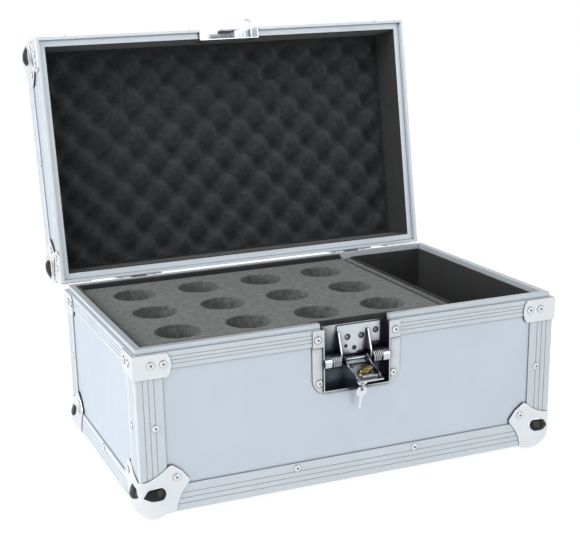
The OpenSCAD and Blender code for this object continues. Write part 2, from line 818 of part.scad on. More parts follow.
module latch_pin() color(steel) {
    reach = dish_w / 2 + dish_t;
    translate([-reach, 0, 0] + lever_axis) rotate([0, 90, 0])
        cylinder(r = lever_pin_r, h = 2 * reach);
    for (side = [-1, 1])
        translate([side > 0 ? spring_start + spring_len : -dish_w / 2, 0, 0] + lever_axis)
            rotate([0, 90, 0])
                cylinder(r = boss_r, h = dish_w / 2 - spring_start - spring_len);
}

// Helix of one spring along x: straight end, turns, straight end
spring_lead = (spring_len - spring_turns * spring_pitch) / 2;
function spring_turn(a, x) = [x, spring_r * cos(a), spring_r * sin(a)];
function spring_path() = concat(
    [for (x = [0, spring_lead * 0.6]) [spring_turn(0, x), [1, 0, 0], 0]],
    [for (i = [1:8 * spring_turns - 1]) let (a = i * 45)
        [spring_turn(a, spring_lead + spring_pitch * a / 360), [0, -sin(a), cos(a)], a]],
    [for (x = [spring_len - spring_lead * 0.6, spring_len]) [spring_turn(0, x), [1, 0, 0], 0]]);
function spring_ring(p) = let (u = [0, cos(p[2]), sin(p[2])], v = cross(p[1], u))
    [for (k = [0:5]) p[0] + spring_wire_r * (cos(60 * k) * u + sin(60 * k) * v)];
// Tube over a list of rings of six points
module six_sided_tube(rings) {
    n = len(rings);
    polyhedron(points = [for (ring = rings) each ring],
        faces = concat([[for (k = [0:5]) k]], [[for (k = [5:-1:0]) (n - 1) * 6 + k]],
            [for (i = [0:n - 2], k = [0:5]) each let (a = i * 6 + k, b = i * 6 + (k + 1) % 6)
                [[a, a + 6, b + 6], [a, b + 6, b]]]));
}
spring_points = [for (p = spring_path()) p[0]];
// Least distance between wire centres one turn or more apart, less the wire
spring_gap = min([for (i = [0:len(spring_points) - 1], j = [i + 6:1:len(spring_points) - 1])
    norm(spring_points[i] - spring_points[j])]) - 2 * spring_wire_r;
echo(spring_gap = spring_gap);
module latch_springs() color("#b8bcc0") {
    rings = [for (p = spring_path()) spring_ring(p)];
    for (side = [0, 1])
        translate(lever_axis) mirror([side, 0, 0]) translate([spring_start, 0, 0])
            six_sided_tube(rings);
}

// Lever, drawn shut from its axis: x sideways, y inwards, z up
module latch_lever() color(steel) {
    plate_t = 1.5;
    half = lever_w / 2;
    hook_z = lever_drop - 3;
    lever_pose() difference() {
        union() {
            translate([-half, -lever_face, 4]) cube([lever_w, plate_t, lever_l - 4]);
            for (side = [-1, 1])
                translate([side > 0 ? half - plate_t : -half, 0, 0]) rotate([90, 0, 90])
                    linear_extrude(plate_t) {
                        circle(r = 4.2);
                        polygon([[-lever_face, 4], [-4.2, 0], [4.2, 0], [2, 9], [-1.5, 14],
                            [-1.5, 32], [-3.5, 35], [-lever_face, 35]]);
                    }
            translate([-9, -lever_face, hook_z]) cube([18, lever_face - 0.5, 1.5]);
        }
        rotate([0, 90, 0]) translate([0, 0, -lever_w]) cylinder(r = lever_pin_r + fit,
            h = 2 * lever_w);
        translate([0, -lever_face - eps, barrel_z]) rotate([-90, 0, 0])
            cylinder(r = barrel_r + fit, h = plate_t + 2 * eps);
    }
}
barrel_out = lever_face + 0.8;
barrel_in = 0.9;
module lock_barrel() color("#c9a24a") lever_pose() {
    difference() {
        union() {
            translate([0, -barrel_out, barrel_z]) rotate([-90, 0, 0])
                cylinder(r = barrel_r, h = barrel_out - barrel_in);
            translate([-2.5, -barrel_in - 0.1, barrel_z - 2.5]) cube([12, 1.6, 5]);
        }
        translate([-4.5 - fit, -barrel_out - eps, barrel_z - key_t / 2 - fit])
            cube([9 + 2 * fit, barrel_out - barrel_in - 0.4, key_t + 2 * fit]);
    }
}
key_hole_out = barrel_out + 11;
// Key bow with its hole, in the plane z = 0, drawn outwards along -y
module key_bow(out) {
    difference() {
        translate([0, -out + key_bow_r - 4, -key_t / 2]) cylinder(r = key_bow_r, h = key_t);
        translate([0, -out, -key_t]) cylinder(r = key_hole_r, h = 2 * key_t);
    }
}
module key() color("#d9dcdf") lever_pose() translate([0, 0, barrel_z]) {
    translate([-4, -key_hole_out + 2 * key_bow_r - 6, -key_t / 2])
        cube([8, key_hole_out - 2 * key_bow_r + 6 - barrel_in - 1, key_t]);
    key_bow(key_hole_out);
}
// Ring through the key's hole; its lowest point carries the spare key
module key_ring() color("#c4c8cc") lever_pose() translate([0, 0, barrel_z]) {
    translate([0, -key_hole_out - ring_r, 0]) rotate([0, 90, 0])
        rotate_extrude() translate([ring_r, 0]) circle(r = ring_wire_r, $fn = 16);
}
spare_out = key_hole_out + 2 * ring_r;
module spare_key() color("#d9dcdf") lever_pose() translate([0, 0, barrel_z]) {
    difference() {
        union() {
            translate([0, -spare_out - key_bow_r + 4, -key_t / 2])
                cylinder(r = key_bow_r, h = key_t);
            translate([-2.2, -spare_out - 2 * key_bow_r + 4.5 - blade_l, -key_t / 2])
                cube([4.4, blade_l, key_t]);
        }
        translate([0, -spare_out, -key_t]) cylinder(r = key_hole_r, h = 2 * key_t);
        for (i = [0:2])
            translate([1.2, -spare_out - 2 * key_bow_r - 1 - 3.6 * i, -key_t])
                cube([2, 1.6, 2 * key_t]);
    }
}

// ---- lid -----------------------------------------------------------------

module lid_wall(face) {
    difference() {
        wall(face, face % 2 == 0 ? panel_out : panel_in, z_lid + lid_web_h,
            z_lid + lid_h - panel_out);
        at_lid_corners() corner_bite();
        at_lid_corners() petal_places() shank_hole();
        lid_bracket_places() shank_hole();
        lid_edge_places(face) shank_hole();
    }
}
lid_dish_h = 28;
module lid_front_panel() color(alu) lid_pose() {
    w = dish_w + 2 * dish_t + 0.2;
    difference() {
        lid_wall(0);
        on_face(0, z_lid) translate([(case_w - w) / 2, -eps, -panel_in - eps])
            cube([w, lid_dish_h + dish_t + 0.1 + eps, panel_in + 2 * eps]);
        lid_dish_places() shank_hole();
    }
}
module lid_back_panel() color(alu) lid_pose() {
    difference() {
        lid_wall(2);
        hinge_places(z_joint + hinge_rivet_z) shank_hole();
    }
}
module lid_left_panel() color(alu) lid_pose() lid_wall(3);
module lid_right_panel() color(alu) lid_pose() lid_wall(1);
module lid_top_panel() color(alu) lid_pose() {
    difference() {
        translate([-case_w / 2 + panel_in, -case_d / 2 + panel_in, z_lid + lid_h - panel_in])
            cube([case_w - 2 * panel_in, case_d - 2 * panel_in, panel_t]);
        at_lid_corners() corner_bite();
        at_lid_corners() petal_places() shank_hole();
        handle_places() shank_hole();
    }
}
lid_cut_w = rim_cut_w - 3;
module lid_rim_front() color(alu) lid_pose() {
    difference() {
        lid_rim_side(0);
        rim_gap(lid_cut_w, z_lid - eps, z_lid + rim_h + eps);
        lid_dish_places() shank_hole();
    }
}
module lid_rim_back() color(alu) lid_pose() {
    difference() {
        lid_rim_side(2);
        hinge_places(z_joint + hinge_rivet_z) shank_hole();
    }
}
module lid_rim_left() color(alu) lid_pose() lid_rim_side(3);
module lid_rim_right() color(alu) lid_pose() lid_rim_side(1);
module lid_upright_angles() color(alu) lid_pose() {
    difference() {
        at_lid_corners() translate([0, 0, angle_leg])
            linear_extrude(lid_h - rim_h - angle_leg) grooved_section(true);
        at_lid_corners() corner_bite();
        lid_bracket_places() shank_hole();
    }
}
module lid_edge_angles() color(alu) lid_pose() {
    difference() {
        for (face = [0:3])
            on_face(face, z_lid + lid_h) mirror([0, 1, 0]) edge_angle(face);
        at_lid_corners() corner_bite();
        for (face = [0:3])
            lid_edge_places(face) shank_hole();
        at_lid_corners() petal_places() shank_hole();
    }
}
module lid_brackets() color(steel) lid_pose() {
    difference() {
        at_corners(z_lid + 0.2, true) bracket();
        lid_bracket_places() shank_hole();
    }
}
module lid_ball_corners() color(steel) lid_pose() at_lid_corners() ball_corner();
module lid_corner_inserts() color(dark) lid_pose() at_lid_corners() corner_insert();
module lid_dish_places() {
    for (side = [-1, 1])
        on_face(0, z_lid) translate([case_w / 2 + side * dish_rivets[0][0],
            dish_rivets[0][1], dish_t]) children();
}
module lid_rivets() color(steel) lid_pose() {
    lid_bracket_places() rivet();
    at_lid_corners() petal_places() rivet();
    for (face = [0:3])
        lid_edge_places(face) rivet();
    lid_dish_places() rivet();
    hinge_places(z_joint + hinge_rivet_z) rivet();
    handle_places() rivet();
}
module lid_lining() color(dark) lid_pose() {
    gap = rim_in + 0.1;
    translate([-case_w / 2 + gap, -case_d / 2 + gap, z_lid + rebate_h]) difference() {
        cube([case_w - 2 * gap, case_d - 2 * gap, lid_h - panel_in - rebate_h]);
        translate([lining_t, lining_t, -eps])
            cube([case_w - 2 * gap - 2 * lining_t, case_d - 2 * gap - 2 * lining_t, lid_h]);
        translate([(case_w - dish_w) / 2 - gap - dish_t - 0.1, -eps, -eps])
            cube([dish_w + 2 * dish_t + 0.2, lining_t + 2.6, lid_dish_h + dish_t + 0.1 + eps - rebate_h]);
    }
}
// Egg-crate foam: a sheet whose free side swells with the cosines of both directions
crate_in = rim_in + lining_t + 0.4;
crate_w = case_w - 2 * crate_in;
crate_len = case_d - 2 * crate_in;
crate_nx = floor(crate_w / crate_pitch) * 4;
crate_ny = floor(crate_len / crate_pitch) * 4;
function crate_edge(i, n, full, step) = i == 0 ? -full / 2 : i == n + 2 ? full / 2
    : (i - 1 - n / 2) * step;
function crate_drop(i, j) = (i == 0 || j == 0 || i == crate_nx + 2 || j == crate_ny + 2)
    ? (crate_t + crate_base_t) / 2
    : (crate_t + crate_base_t) / 2
        + (crate_t - crate_base_t) / 2 * cos(90 * (i - 1)) * cos(90 * (j - 1));
module lid_foam() color("#33373a") lid_pose() {
    nx = crate_nx + 2;
    ny = crate_ny + 2;
    step = crate_pitch / 4;
    under = [for (j = [0:ny], i = [0:nx]) [crate_edge(i, crate_nx, crate_w, step),
        crate_edge(j, crate_ny, crate_len, step), -crate_drop(i, j)]];
    rim = concat([for (i = [0:nx - 1]) i], [for (j = [0:ny - 1]) j * (nx + 1) + nx],
        [for (i = [nx:-1:1]) ny * (nx + 1) + i], [for (j = [ny:-1:1]) j * (nx + 1)]);
    top = concat([for (k = rim) [under[k][0], under[k][1], 0]], [[0, 0, 0]]);
    first = len(under);
    m = len(rim);
    translate([0, 0, z_lid + lid_h - panel_in - 0.1]) polyhedron(
        points = concat(under, top),
        faces = concat(
            [for (j = [0:ny - 1], i = [0:nx - 1]) each let (a = j * (nx + 1) + i)
                [[a, a + 1, a + nx + 2], [a, a + nx + 2, a + nx + 1]]],
            [for (k = [0:m - 1]) each let (l = (k + 1) % m)
                [[rim[k], first + k, first + l], [rim[k], first + l, rim[l]]]],
            [for (k = [0:m - 1]) [first + m, first + (k + 1) % m, first + k]]));
}

// ---- catch on the lid ----------------------------------------------------

module catch_dish() color(steel) lid_pose() {
    translate([0, -case_d / 2, z_lid]) difference() {
        union() {
            translate([-dish_flange_w / 2, -dish_t, 0.2])
                cube([dish_flange_w, dish_t, rim_h + dish_t - 0.1]);
            translate([-dish_flange_w / 2, -dish_t, rim_h + 0.1])
                cube([dish_flange_w, angle_t + dish_t, dish_t]);
            translate([-dish_flange_w / 2, angle_t - dish_t, rim_h + 0.1])
                cube([dish_flange_w, dish_t, lid_dish_h + 5 - rim_h]);
            translate([-dish_w / 2 - dish_t, -dish_t, 0.2])
                cube([dish_w + 2 * dish_t, dish_d + 2 * dish_t, lid_dish_h + dish_t - 0.2]);
        }
        translate([-dish_w / 2, -dish_t - eps, -eps])
            cube([dish_w, dish_d + dish_t + eps, lid_dish_h + eps]);
        for (side = [-1, 1])
            translate([side * dish_rivets[0][0], 0, dish_rivets[0][1]]) rotate([90, 0, 0])
                cylinder(r = shank_r + fit, h = 10, center = true);
        translate([0, dish_d - eps, eye_z]) eye_legs(fit, 3);
    }
}
// Catch: foot on the dish, shelf, and the tongue with the hook's window
module catch_plate() color(steel) lid_pose() {
    plate_t = 1.5;
    tongue_in = 1;
    shelf = 13;
    translate([0, -case_d / 2, z_lid]) difference() {
        union() {
            translate([-catch_w / 2, tongue_in, -catch_drop - joint_gap])
                cube([catch_w, plate_t, shelf + catch_drop + joint_gap]);
            translate([-catch_w / 2, tongue_in, shelf - plate_t])
                cube([catch_w, dish_d - tongue_in - 0.05, plate_t]);
            translate([-catch_w / 2, dish_d - plate_t - 0.05, shelf - plate_t])
                cube([catch_w, plate_t, 12]);
        }
        translate([-window[0] / 2, tongue_in - eps, -catch_drop + 5 - joint_gap])
            cube([window[0], plate_t + 2 * eps, window[1]]);
    }
}
module eye_legs(grow, len) {
    for (side = [-1, 1])
        translate([eye_x + side * eye_half, 0, 0]) rotate([-90, 0, 0])
            cylinder(r = eye_wire_r + grow, h = len);
}
eye_half = 4.4;
eye_wire_r = 1.1;
eye_out = 6;
module catch_eye() color(steel) lid_pose() {
    translate([0, -case_d / 2 - eye_out, z_lid + eye_z]) {
        eye_legs(0, dish_d + eye_out + dish_t);
        translate([eye_x, 0, 0]) rotate([0, 0, 180]) rotate_extrude(angle = 180)
            translate([eye_half, 0]) circle(r = eye_wire_r, $fn = 24);
    }
}

// ---- handle on the lid ---------------------------------------------------

handle_foot = [4.5 * rivet_r, 8 * rivet_r, leaf_t];
bracket_x = (handle_w + handle_foot[0]) / 2;
lug_w = 4 * rod_r;
lug_r = 1.88 * rod_r;
module handle_places() {
    for (side = [-1, 1], v = [-2.5, 2.5])
        translate([side * bracket_x, v * rivet_r, z_lid + lid_h - panel_out + leaf_t]) children();
}
module handle_bore() {
    translate([-handle_w, 0, 0] + handle_axis) rotate([0, 90, 0])
        cylinder(r = rod_r + fit, h = 2 * handle_w);
}
module handle_brackets() color(steel) lid_pose() {
    difference() {
        for (side = [-1, 1])
            translate([side * bracket_x, 0, z_lid + lid_h - panel_out]) {
                translate([-handle_foot[0] / 2, -handle_foot[1] / 2, 0]) cube(handle_foot);
                translate([-lug_w / 2, 0, 0]) rotate([90, 0, 90]) linear_extrude(lug_w) {
                    translate([0, handle_up]) circle(r = lug_r);
                    translate([-lug_r, 1]) square([2 * lug_r, handle_up - 1]);
                }
            }
        handle_bore();
        handle_places() shank_hole();
    }
}
// Turns the handle from lying on the lid to hanging plumb from the open lid
module handle_pose() {
    lid_pose() translate(handle_axis) rotate([handle_lie_deg, 0, 0]) children();
}
module handle_bail() color(steel) handle_pose() {
    half = handle_w / 2;
    stub = (handle_foot[0] + lug_w) / 2 + 1;
    for (side = [-1, 1]) {
        translate([side > 0 ? half : -half - stub, 0, 0]) rotate([0, 90, 0])
            cylinder(r = rod_r, h = stub);
        translate([side * half, 0, 0]) sphere(r = rod_r);
        translate([side * half, 0, 0]) rotate([-90, 0, 0]) cylinder(r = rod_r, h = handle_reach);
        translate([side * half, handle_reach, 0]) sphere(r = rod_r);
    }
    translate([-half, handle_reach, 0]) rotate([0, 90, 0]) cylinder(r = rod_r, h = handle_w);
}
module handle_grip() color(dark) handle_pose() {
    len = handle_w - 6.4 * rod_r;
    translate([-len / 2, handle_reach, 0]) rotate([0, 90, 0]) difference() {
        cylinder(r = grip_r, h = len);
        translate([0, 0, -eps]) cylinder(r = rod_r, h = len + 2 * eps);
    }
}

base_floor();
base_front_panel();
base_back_panel();
base_left_panel();
base_right_panel();
base_rim_front();
base_rim_back();
base_rim_left();
base_rim_right();
base_upright_angles();
base_bottom_angles();
base_brackets();
base_ball_corners();
base_corner_inserts();
base_rivets();
foam_insert();
divider();
compartment_lining();
hinge_base_leaves();
hinge_pins();
latch_dish();
latch_frame();
latch_pin();
latch_springs();
latch_lever();
lock_barrel();
key();
key_ring();
spare_key();
lid_top_panel();
lid_front_panel();
lid_back_panel();
lid_left_panel();
lid_right_panel();
lid_rim_front();
lid_rim_back();
lid_rim_left();
lid_rim_right();
lid_upright_angles();
lid_edge_angles();
lid_brackets();
lid_ball_corners();
lid_corner_inserts();
lid_rivets();
lid_foam();
lid_lining();
catch_dish();
catch_plate();
catch_eye();
hinge_lid_leaves();
handle_brackets();
handle_bail();
handle_grip();
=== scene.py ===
"""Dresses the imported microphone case: foams, felt linings, pressed corners, latch and finishes.

Lengths are in metres in the shared frame: z up, the latch side at -y, the origin on the floor
under the middle of the case. The lid is at rest when it stands open. Shapes on the lid are
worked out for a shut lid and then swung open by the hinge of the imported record.
"""

import json
import logging
import math
from dataclasses import dataclass, field
from enum import Enum

import bmesh
import bpy
import numpy as np
from mathutils import Matrix, Vector

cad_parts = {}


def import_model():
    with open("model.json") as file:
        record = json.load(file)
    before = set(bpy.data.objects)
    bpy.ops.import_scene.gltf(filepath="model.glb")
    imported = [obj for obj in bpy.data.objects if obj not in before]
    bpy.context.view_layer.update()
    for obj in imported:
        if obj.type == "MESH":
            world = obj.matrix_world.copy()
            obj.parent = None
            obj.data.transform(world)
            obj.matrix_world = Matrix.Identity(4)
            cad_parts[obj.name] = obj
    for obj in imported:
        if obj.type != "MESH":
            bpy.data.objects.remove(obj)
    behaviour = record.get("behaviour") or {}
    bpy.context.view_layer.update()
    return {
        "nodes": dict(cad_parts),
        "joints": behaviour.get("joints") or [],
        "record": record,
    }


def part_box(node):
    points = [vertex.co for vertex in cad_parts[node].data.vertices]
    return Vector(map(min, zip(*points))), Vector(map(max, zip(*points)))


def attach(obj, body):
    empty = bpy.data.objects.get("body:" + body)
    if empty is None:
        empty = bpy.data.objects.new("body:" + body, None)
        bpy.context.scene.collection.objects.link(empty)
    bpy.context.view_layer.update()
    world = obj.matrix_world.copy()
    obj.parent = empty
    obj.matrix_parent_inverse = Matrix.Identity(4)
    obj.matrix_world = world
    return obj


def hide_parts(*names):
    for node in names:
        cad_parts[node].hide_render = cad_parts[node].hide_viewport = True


LOG = logging.getLogger("case")
Array = np.ndarray
Pair = tuple[float, float]
Triple = tuple[float, float, float]
Colour = Triple
Socket = bpy.types.NodeSocket
MM = 0.001
MERGE = 1e-6
SHARP_DEG = 50
# The material slot of each CAD node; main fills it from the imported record.
FRAME_SLOTS: dict[str, str] = {}


# ---- sizes ----------------------------------------------------------------------------


@dataclass(frozen=True)
class CaseSizes:
    """Driving sizes of the case, the same as in the CAD source."""

    width: float = 500 * MM
    depth: float = 300 * MM
    foot: float = 9 * MM
    base_height: float = 177.5 * MM
    joint_gap: float = 0.3 * MM
    lid_height: float = 83 * MM
    panel_in: float = 8.5 * MM
    rim_in: float = 10.6 * MM
    sheet: float = 1.3 * MM
    dish_half: float = 41 * MM
    dish_back: float = 13.3 * MM

    @property
    def joint(self) -> float:
        """Height of the joint between base and lid."""
        return self.foot + self.base_height

    @property
    def lid_foot(self) -> float:
        """Height of the shut lid's lower edge."""
        return self.joint + self.joint_gap

    @property
    def lid_top(self) -> float:
        """Height of the shut lid's upper edge."""
        return self.lid_foot + self.lid_height

    @property
    def floor_top(self) -> float:
        """Height of the base panel's upper face."""
        return self.foot + self.panel_in


SIZES = CaseSizes()


def srgb(red: float, green: float, blue: float) -> Colour:
    """A colour from 0..255 display values, as linear light.

    Args:
        red: display value of red.
        green: display value of green.
        blue: display value of blue.

    Returns:
        The three linear values.
    """
    shown = np.array([red, green, blue]) / 255
    low = shown / 12.92
    high = ((shown + 0.055) / 1.055) ** 2.4
    return tuple(float(v) for v in np.where(shown <= 0.04045, low, high))


# ---- meshes ---------------------------------------------------------------------------


def grid_quads(rows: int, columns: int, close_rows: bool, close_columns: bool) -> Array:
    """Corner numbers of the quads between neighbouring points of a grid.

    Point (i, j) has number i * columns + j, and a quad joins (i, j), (i, j + 1),
    (i + 1, j + 1) and (i + 1, j), counted round where that direction is closed.

    Args:
        rows: points down the grid.
        columns: points across the grid.
        close_rows: whether the last row joins the first.
        close_columns: whether the last column joins the first.

    Returns:
        One row of four numbers for each quad.
    """
    i = np.arange(rows if close_rows else rows - 1)[:, None]
    j = np.arange(columns if close_columns else columns - 1)[None, :]
    i1, j1 = (i + 1) % rows, (j + 1) % columns
    corners = [i * columns + j, i * columns + j1, i1 * columns + j1, i1 * columns + j]
    return np.stack(np.broadcast_arrays(*corners), -1).reshape(-1, 4)


@dataclass
class Surface:
    """Points and faces that grow grid by grid into one mesh."""

    name: str
    points: list[Array] = field(default_factory=list)
    faces: list[list[int]] = field(default_factory=list)
    count: int = 0

    def grid(self, grid: Array, close_rows: bool = False, close_columns: bool = False) -> int:
        """Adds a grid of points with its quads.

        Args:
            grid: points as (rows, columns, 3).
            close_rows: whether the last row joins the first.
            close_columns: whether the last column joins the first.

        Returns:
            The number of the grid's first point.
        """
        rows, columns = grid.shape[:2]
        first = self.count
        quads = grid_quads(rows, columns, close_rows, close_columns) + first
        self.points.append(grid.reshape(-1, 3))
        self.faces.extend(quads.tolist())
        self.count += rows * columns
        return first

    def cap(self, first: int, length: int) -> None:
        """Closes a loop of points in a row with one face, which keeps the loop's order."""
        self.faces.append(list(range(first, first + length)))

    def cap_ends(self, first: int, rows: int, length: int) -> None:
        """Closes the first and the last row of a grid of closed rows with one face each."""
        self.cap(first, length)
        self.cap(first + (rows - 1) * length, length)

    def fan(self, first: int, length: int, centre: Array) -> None:
        """Closes a loop of points with triangles round one centre point."""
        self.points.append(np.asarray(centre, float).reshape(1, 3))
        loop = first + np.arange(length)
        after = first + (np.arange(length) + 1) % length
        hub = np.full(length, self.count)
        self.faces.extend(np.stack([loop, after, hub], -1).tolist())
        self.count += 1

    def build(self, sharp_deg: float = SHARP_DEG) -> bpy.types.Object:
        """Makes the mesh object, with its doubles merged and its faces turned outwards.

        Args:
            sharp_deg: an edge that bends more than this stays sharp.

        Returns:
            The new object, at the origin.
        """
        mesh = bpy.data.meshes.new(self.name)
        mesh.from_pydata(np.concatenate(self.points).tolist(), [], self.faces)
        work = bmesh.new()
        work.from_mesh(mesh)
        bmesh.ops.remove_doubles(work, verts=work.verts, dist=MERGE)
        bmesh.ops.recalc_face_normals(work, faces=work.faces)
        work.to_mesh(mesh)
        work.free()
        mesh.shade_smooth()
        mesh.set_sharp_from_angle(angle=math.radians(sharp_deg))
        piece = bpy.data.objects.new(self.name, mesh)
        bpy.context.scene.collection.objects.link(piece)
        return piece


def triangles(piece: bpy.types.Object) -> int:
    """Number of triangles in a piece's mesh."""
    sides = np.zeros(len(piece.data.polygons), np.int32)
    piece.data.polygons.foreach_get("loop_total", sides)
    return int((sides - 2).sum())


def arc(start_deg: float, end_deg: float, steps: int) -> Array:
    """Points of a unit circle between two angles: the cosine and the sine of evenly spaced angles.

    Args:
        start_deg: first angle.
        end_deg: last angle.
        steps: number of stretches.

    Returns:
        Points as (steps + 1, 2).
    """
    angle = np.radians(np.linspace(start_deg, end_deg, steps + 1))
    return np.stack([np.cos(angle), np.sin(angle)], -1)


def rounded_loops(
    centre: Array, half: Array, radius: float, rows: Array, side_steps: int = 24
) -> Array:
    """A stack of rounded rectangles, one for each (inset, height) row.

    A loop is the rectangle's corner points drawn in by the radius, plus a quarter circle of
    that radius at each, with the straight sides divided evenly. An inset shrinks both.

    Args:
        centre: middle of the rectangles, (x, y).
        half: half sizes without inset, (x, y).
        radius: corner radius without inset.
        rows: (inset, height) pairs.
        side_steps: stretches along each straight side.

    Returns:
        Points as (rows, loop, 3).
    """
    corner_steps = 6
    least_radius = 0.2 * MM
    inset, height = rows[:, 0], rows[:, 1]
    rounding = np.maximum(radius - inset, least_radius)
    core = half[None, :] - inset[:, None] - rounding[:, None]
    share = np.linspace(0, 1, side_steps + 1)[1:-1][None, :, None]
    signs = [(1, 1), (-1, 1), (-1, -1), (1, -1)]
    loops = []
    for quarter, (sign, next_sign) in enumerate(zip(signs, signs[1:] + signs[:1])):
        turn = rounding[:, None, None] * arc(90 * quarter, 90 * quarter + 90, corner_steps)
        here = (core * sign)[:, None, :] + turn
        after = (core * next_sign)[:, None, :] + turn[:, -1:]
        loops += [here, here[:, -1:] * (1 - share) + after * share]
    flat = np.concatenate(loops, 1) + np.asarray(centre)[None, None, :]
    tall = np.broadcast_to(height[:, None, None], flat.shape[:2] + (1,))
    return np.concatenate([flat, tall], -1)


def tube(path: Array, radius: float, sides: int, up: Array) -> Array:
    """Rings round a path: each path point plus the radius times a unit circle across the path.

    Args:
        path: the centreline, (n, 3).
        radius: the tube's radius.
        sides: points round the tube.
        up: one direction across the path at each point, (n, 3).

    Returns:
        Points as (n, sides, 3).
    """
    along = np.gradient(path, axis=0)
    along /= np.linalg.norm(along, axis=1, keepdims=True)
    across = np.cross(along, up)
    across /= np.linalg.norm(across, axis=1, keepdims=True)
    raised = np.cross(across, along)
    turn = np.linspace(0, 2 * np.pi, sides, endpoint=False)
    cosine, sine = np.cos(turn)[None, :, None], np.sin(turn)[None, :, None]
    return path[:, None, :] + radius * (cosine * raised[:, None, :] + sine * across[:, None, :])


class LidPose:
    """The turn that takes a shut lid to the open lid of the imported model."""

    def __init__(self, joints: list[dict]) -> None:
        """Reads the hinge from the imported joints.

        Args:
            joints: the record's joints.
        """
        hinge = next(j for j in joints if j["name"] == "lid_hinge")
        middle = Matrix.Translation(Vector(hinge["pos_m"]))
        turn = Matrix.Rotation(-math.radians(hinge["range_deg"][1]), 4, Vector(hinge["axis"]))
        self.matrix = np.array(middle @ turn @ middle.inverted())

    def open(self, points: Array) -> Array:
        """Points of the shut lid, moved to the open lid."""
        return points @ self.matrix[:3, :3].T + self.matrix[:3, 3]


def clear_dish(points: Array, top: float) -> Array:
    """Pushes soft points back from the latch dishes: where x is within the dish, the point is
    below the given height and less than the dish's depth behind the front, y becomes that depth.

    Args:
        points: points as (..., 3).
        top: height of the dish's closed end, below which nothing moves for a base dish and
            above which nothing moves for a lid dish.

    Returns:
        The moved points.
    """
    ease = 1 * MM
    moved = points.copy()
    back = SIZES.dish_back - SIZES.depth / 2
    beside = np.clip((SIZES.dish_half - np.abs(points[..., 0])) / ease, 0, 1)
    side = points[..., 2] - top if top < SIZES.joint else top - points[..., 2]
    inside = beside * np.clip(side / ease, 0, 1)
    moved[..., 1] += inside * np.maximum(back - points[..., 1], 0)
    return moved


# ---- finishes -------------------------------------------------------------------------


class NodeBench:
    """Adds and links the nodes of one tree."""

    def __init__(self, tree: bpy.types.NodeTree) -> None:
        """Starts on an empty tree."""
        self.tree = tree
        self.tree.nodes.clear()

    def add(self, kind: str, values: dict | None = None, **settings: object) -> bpy.types.Node:
        """Adds a node, sets its own settings and its input sockets.

        Args:
            kind: the node's type name.
            values: input socket name or number to a value or a socket to link from.
            settings: attributes of the node.

        Returns:
            The new node.
        """
        node = self.tree.nodes.new(kind)
        for key, value in settings.items():
            setattr(node, key, value)
        for key, value in (values or {}).items():
            if isinstance(value, bpy.types.NodeSocket):
                self.tree.links.new(value, node.inputs[key])
            else:
                node.inputs[key].default_value = value
        return node

    def on_object(self) -> Socket:
        """Object coordinates."""
        return self.add("ShaderNodeTexCoord").outputs["Object"]

    def noise(self, vector: Socket, scale: object, **detail: float) -> Socket:
        """Noise of a scale on given coordinates."""
        named = {key.title(): value for key, value in detail.items()}
        node = self.add("ShaderNodeTexNoise", {"Vector": vector, "Scale": scale, **named})
        return node.outputs["Fac"]

    def math(self, operation: str, first: object, second: object, **settings: bool) -> Socket:
        """The result of a sum on two values or sockets."""
        node = self.add("ShaderNodeMath", {0: first, 1: second}, operation=operation, **settings)
        return node.outputs["Value"]

    def ramp(self, value: Socket, from_low: object, from_high: object, to_low: object = 0.0,
             to_high: object = 1.0, **settings: str) -> Socket:
        """A value carried from one range to another and held within it."""
        node = self.add(
            "ShaderNodeMapRange",
            {"Value": value, "From Min": from_low, "From Max": from_high, "To Min": to_low,
             "To Max": to_high},
            **settings,
        )
        return node.outputs["Result"]


class Pattern(Enum):
    """The shared effects, each a node group that is built once."""

    PATCHES = "patches"
    STREAKS = "streaks"
    EDGES = "edges"
    PORES = "pores"
    FIBRES = "fibres"
    # painted shade: ambient occlusion darkens metal colour in gaps and recesses
    PAINTED_SHADE = "painted_shade"


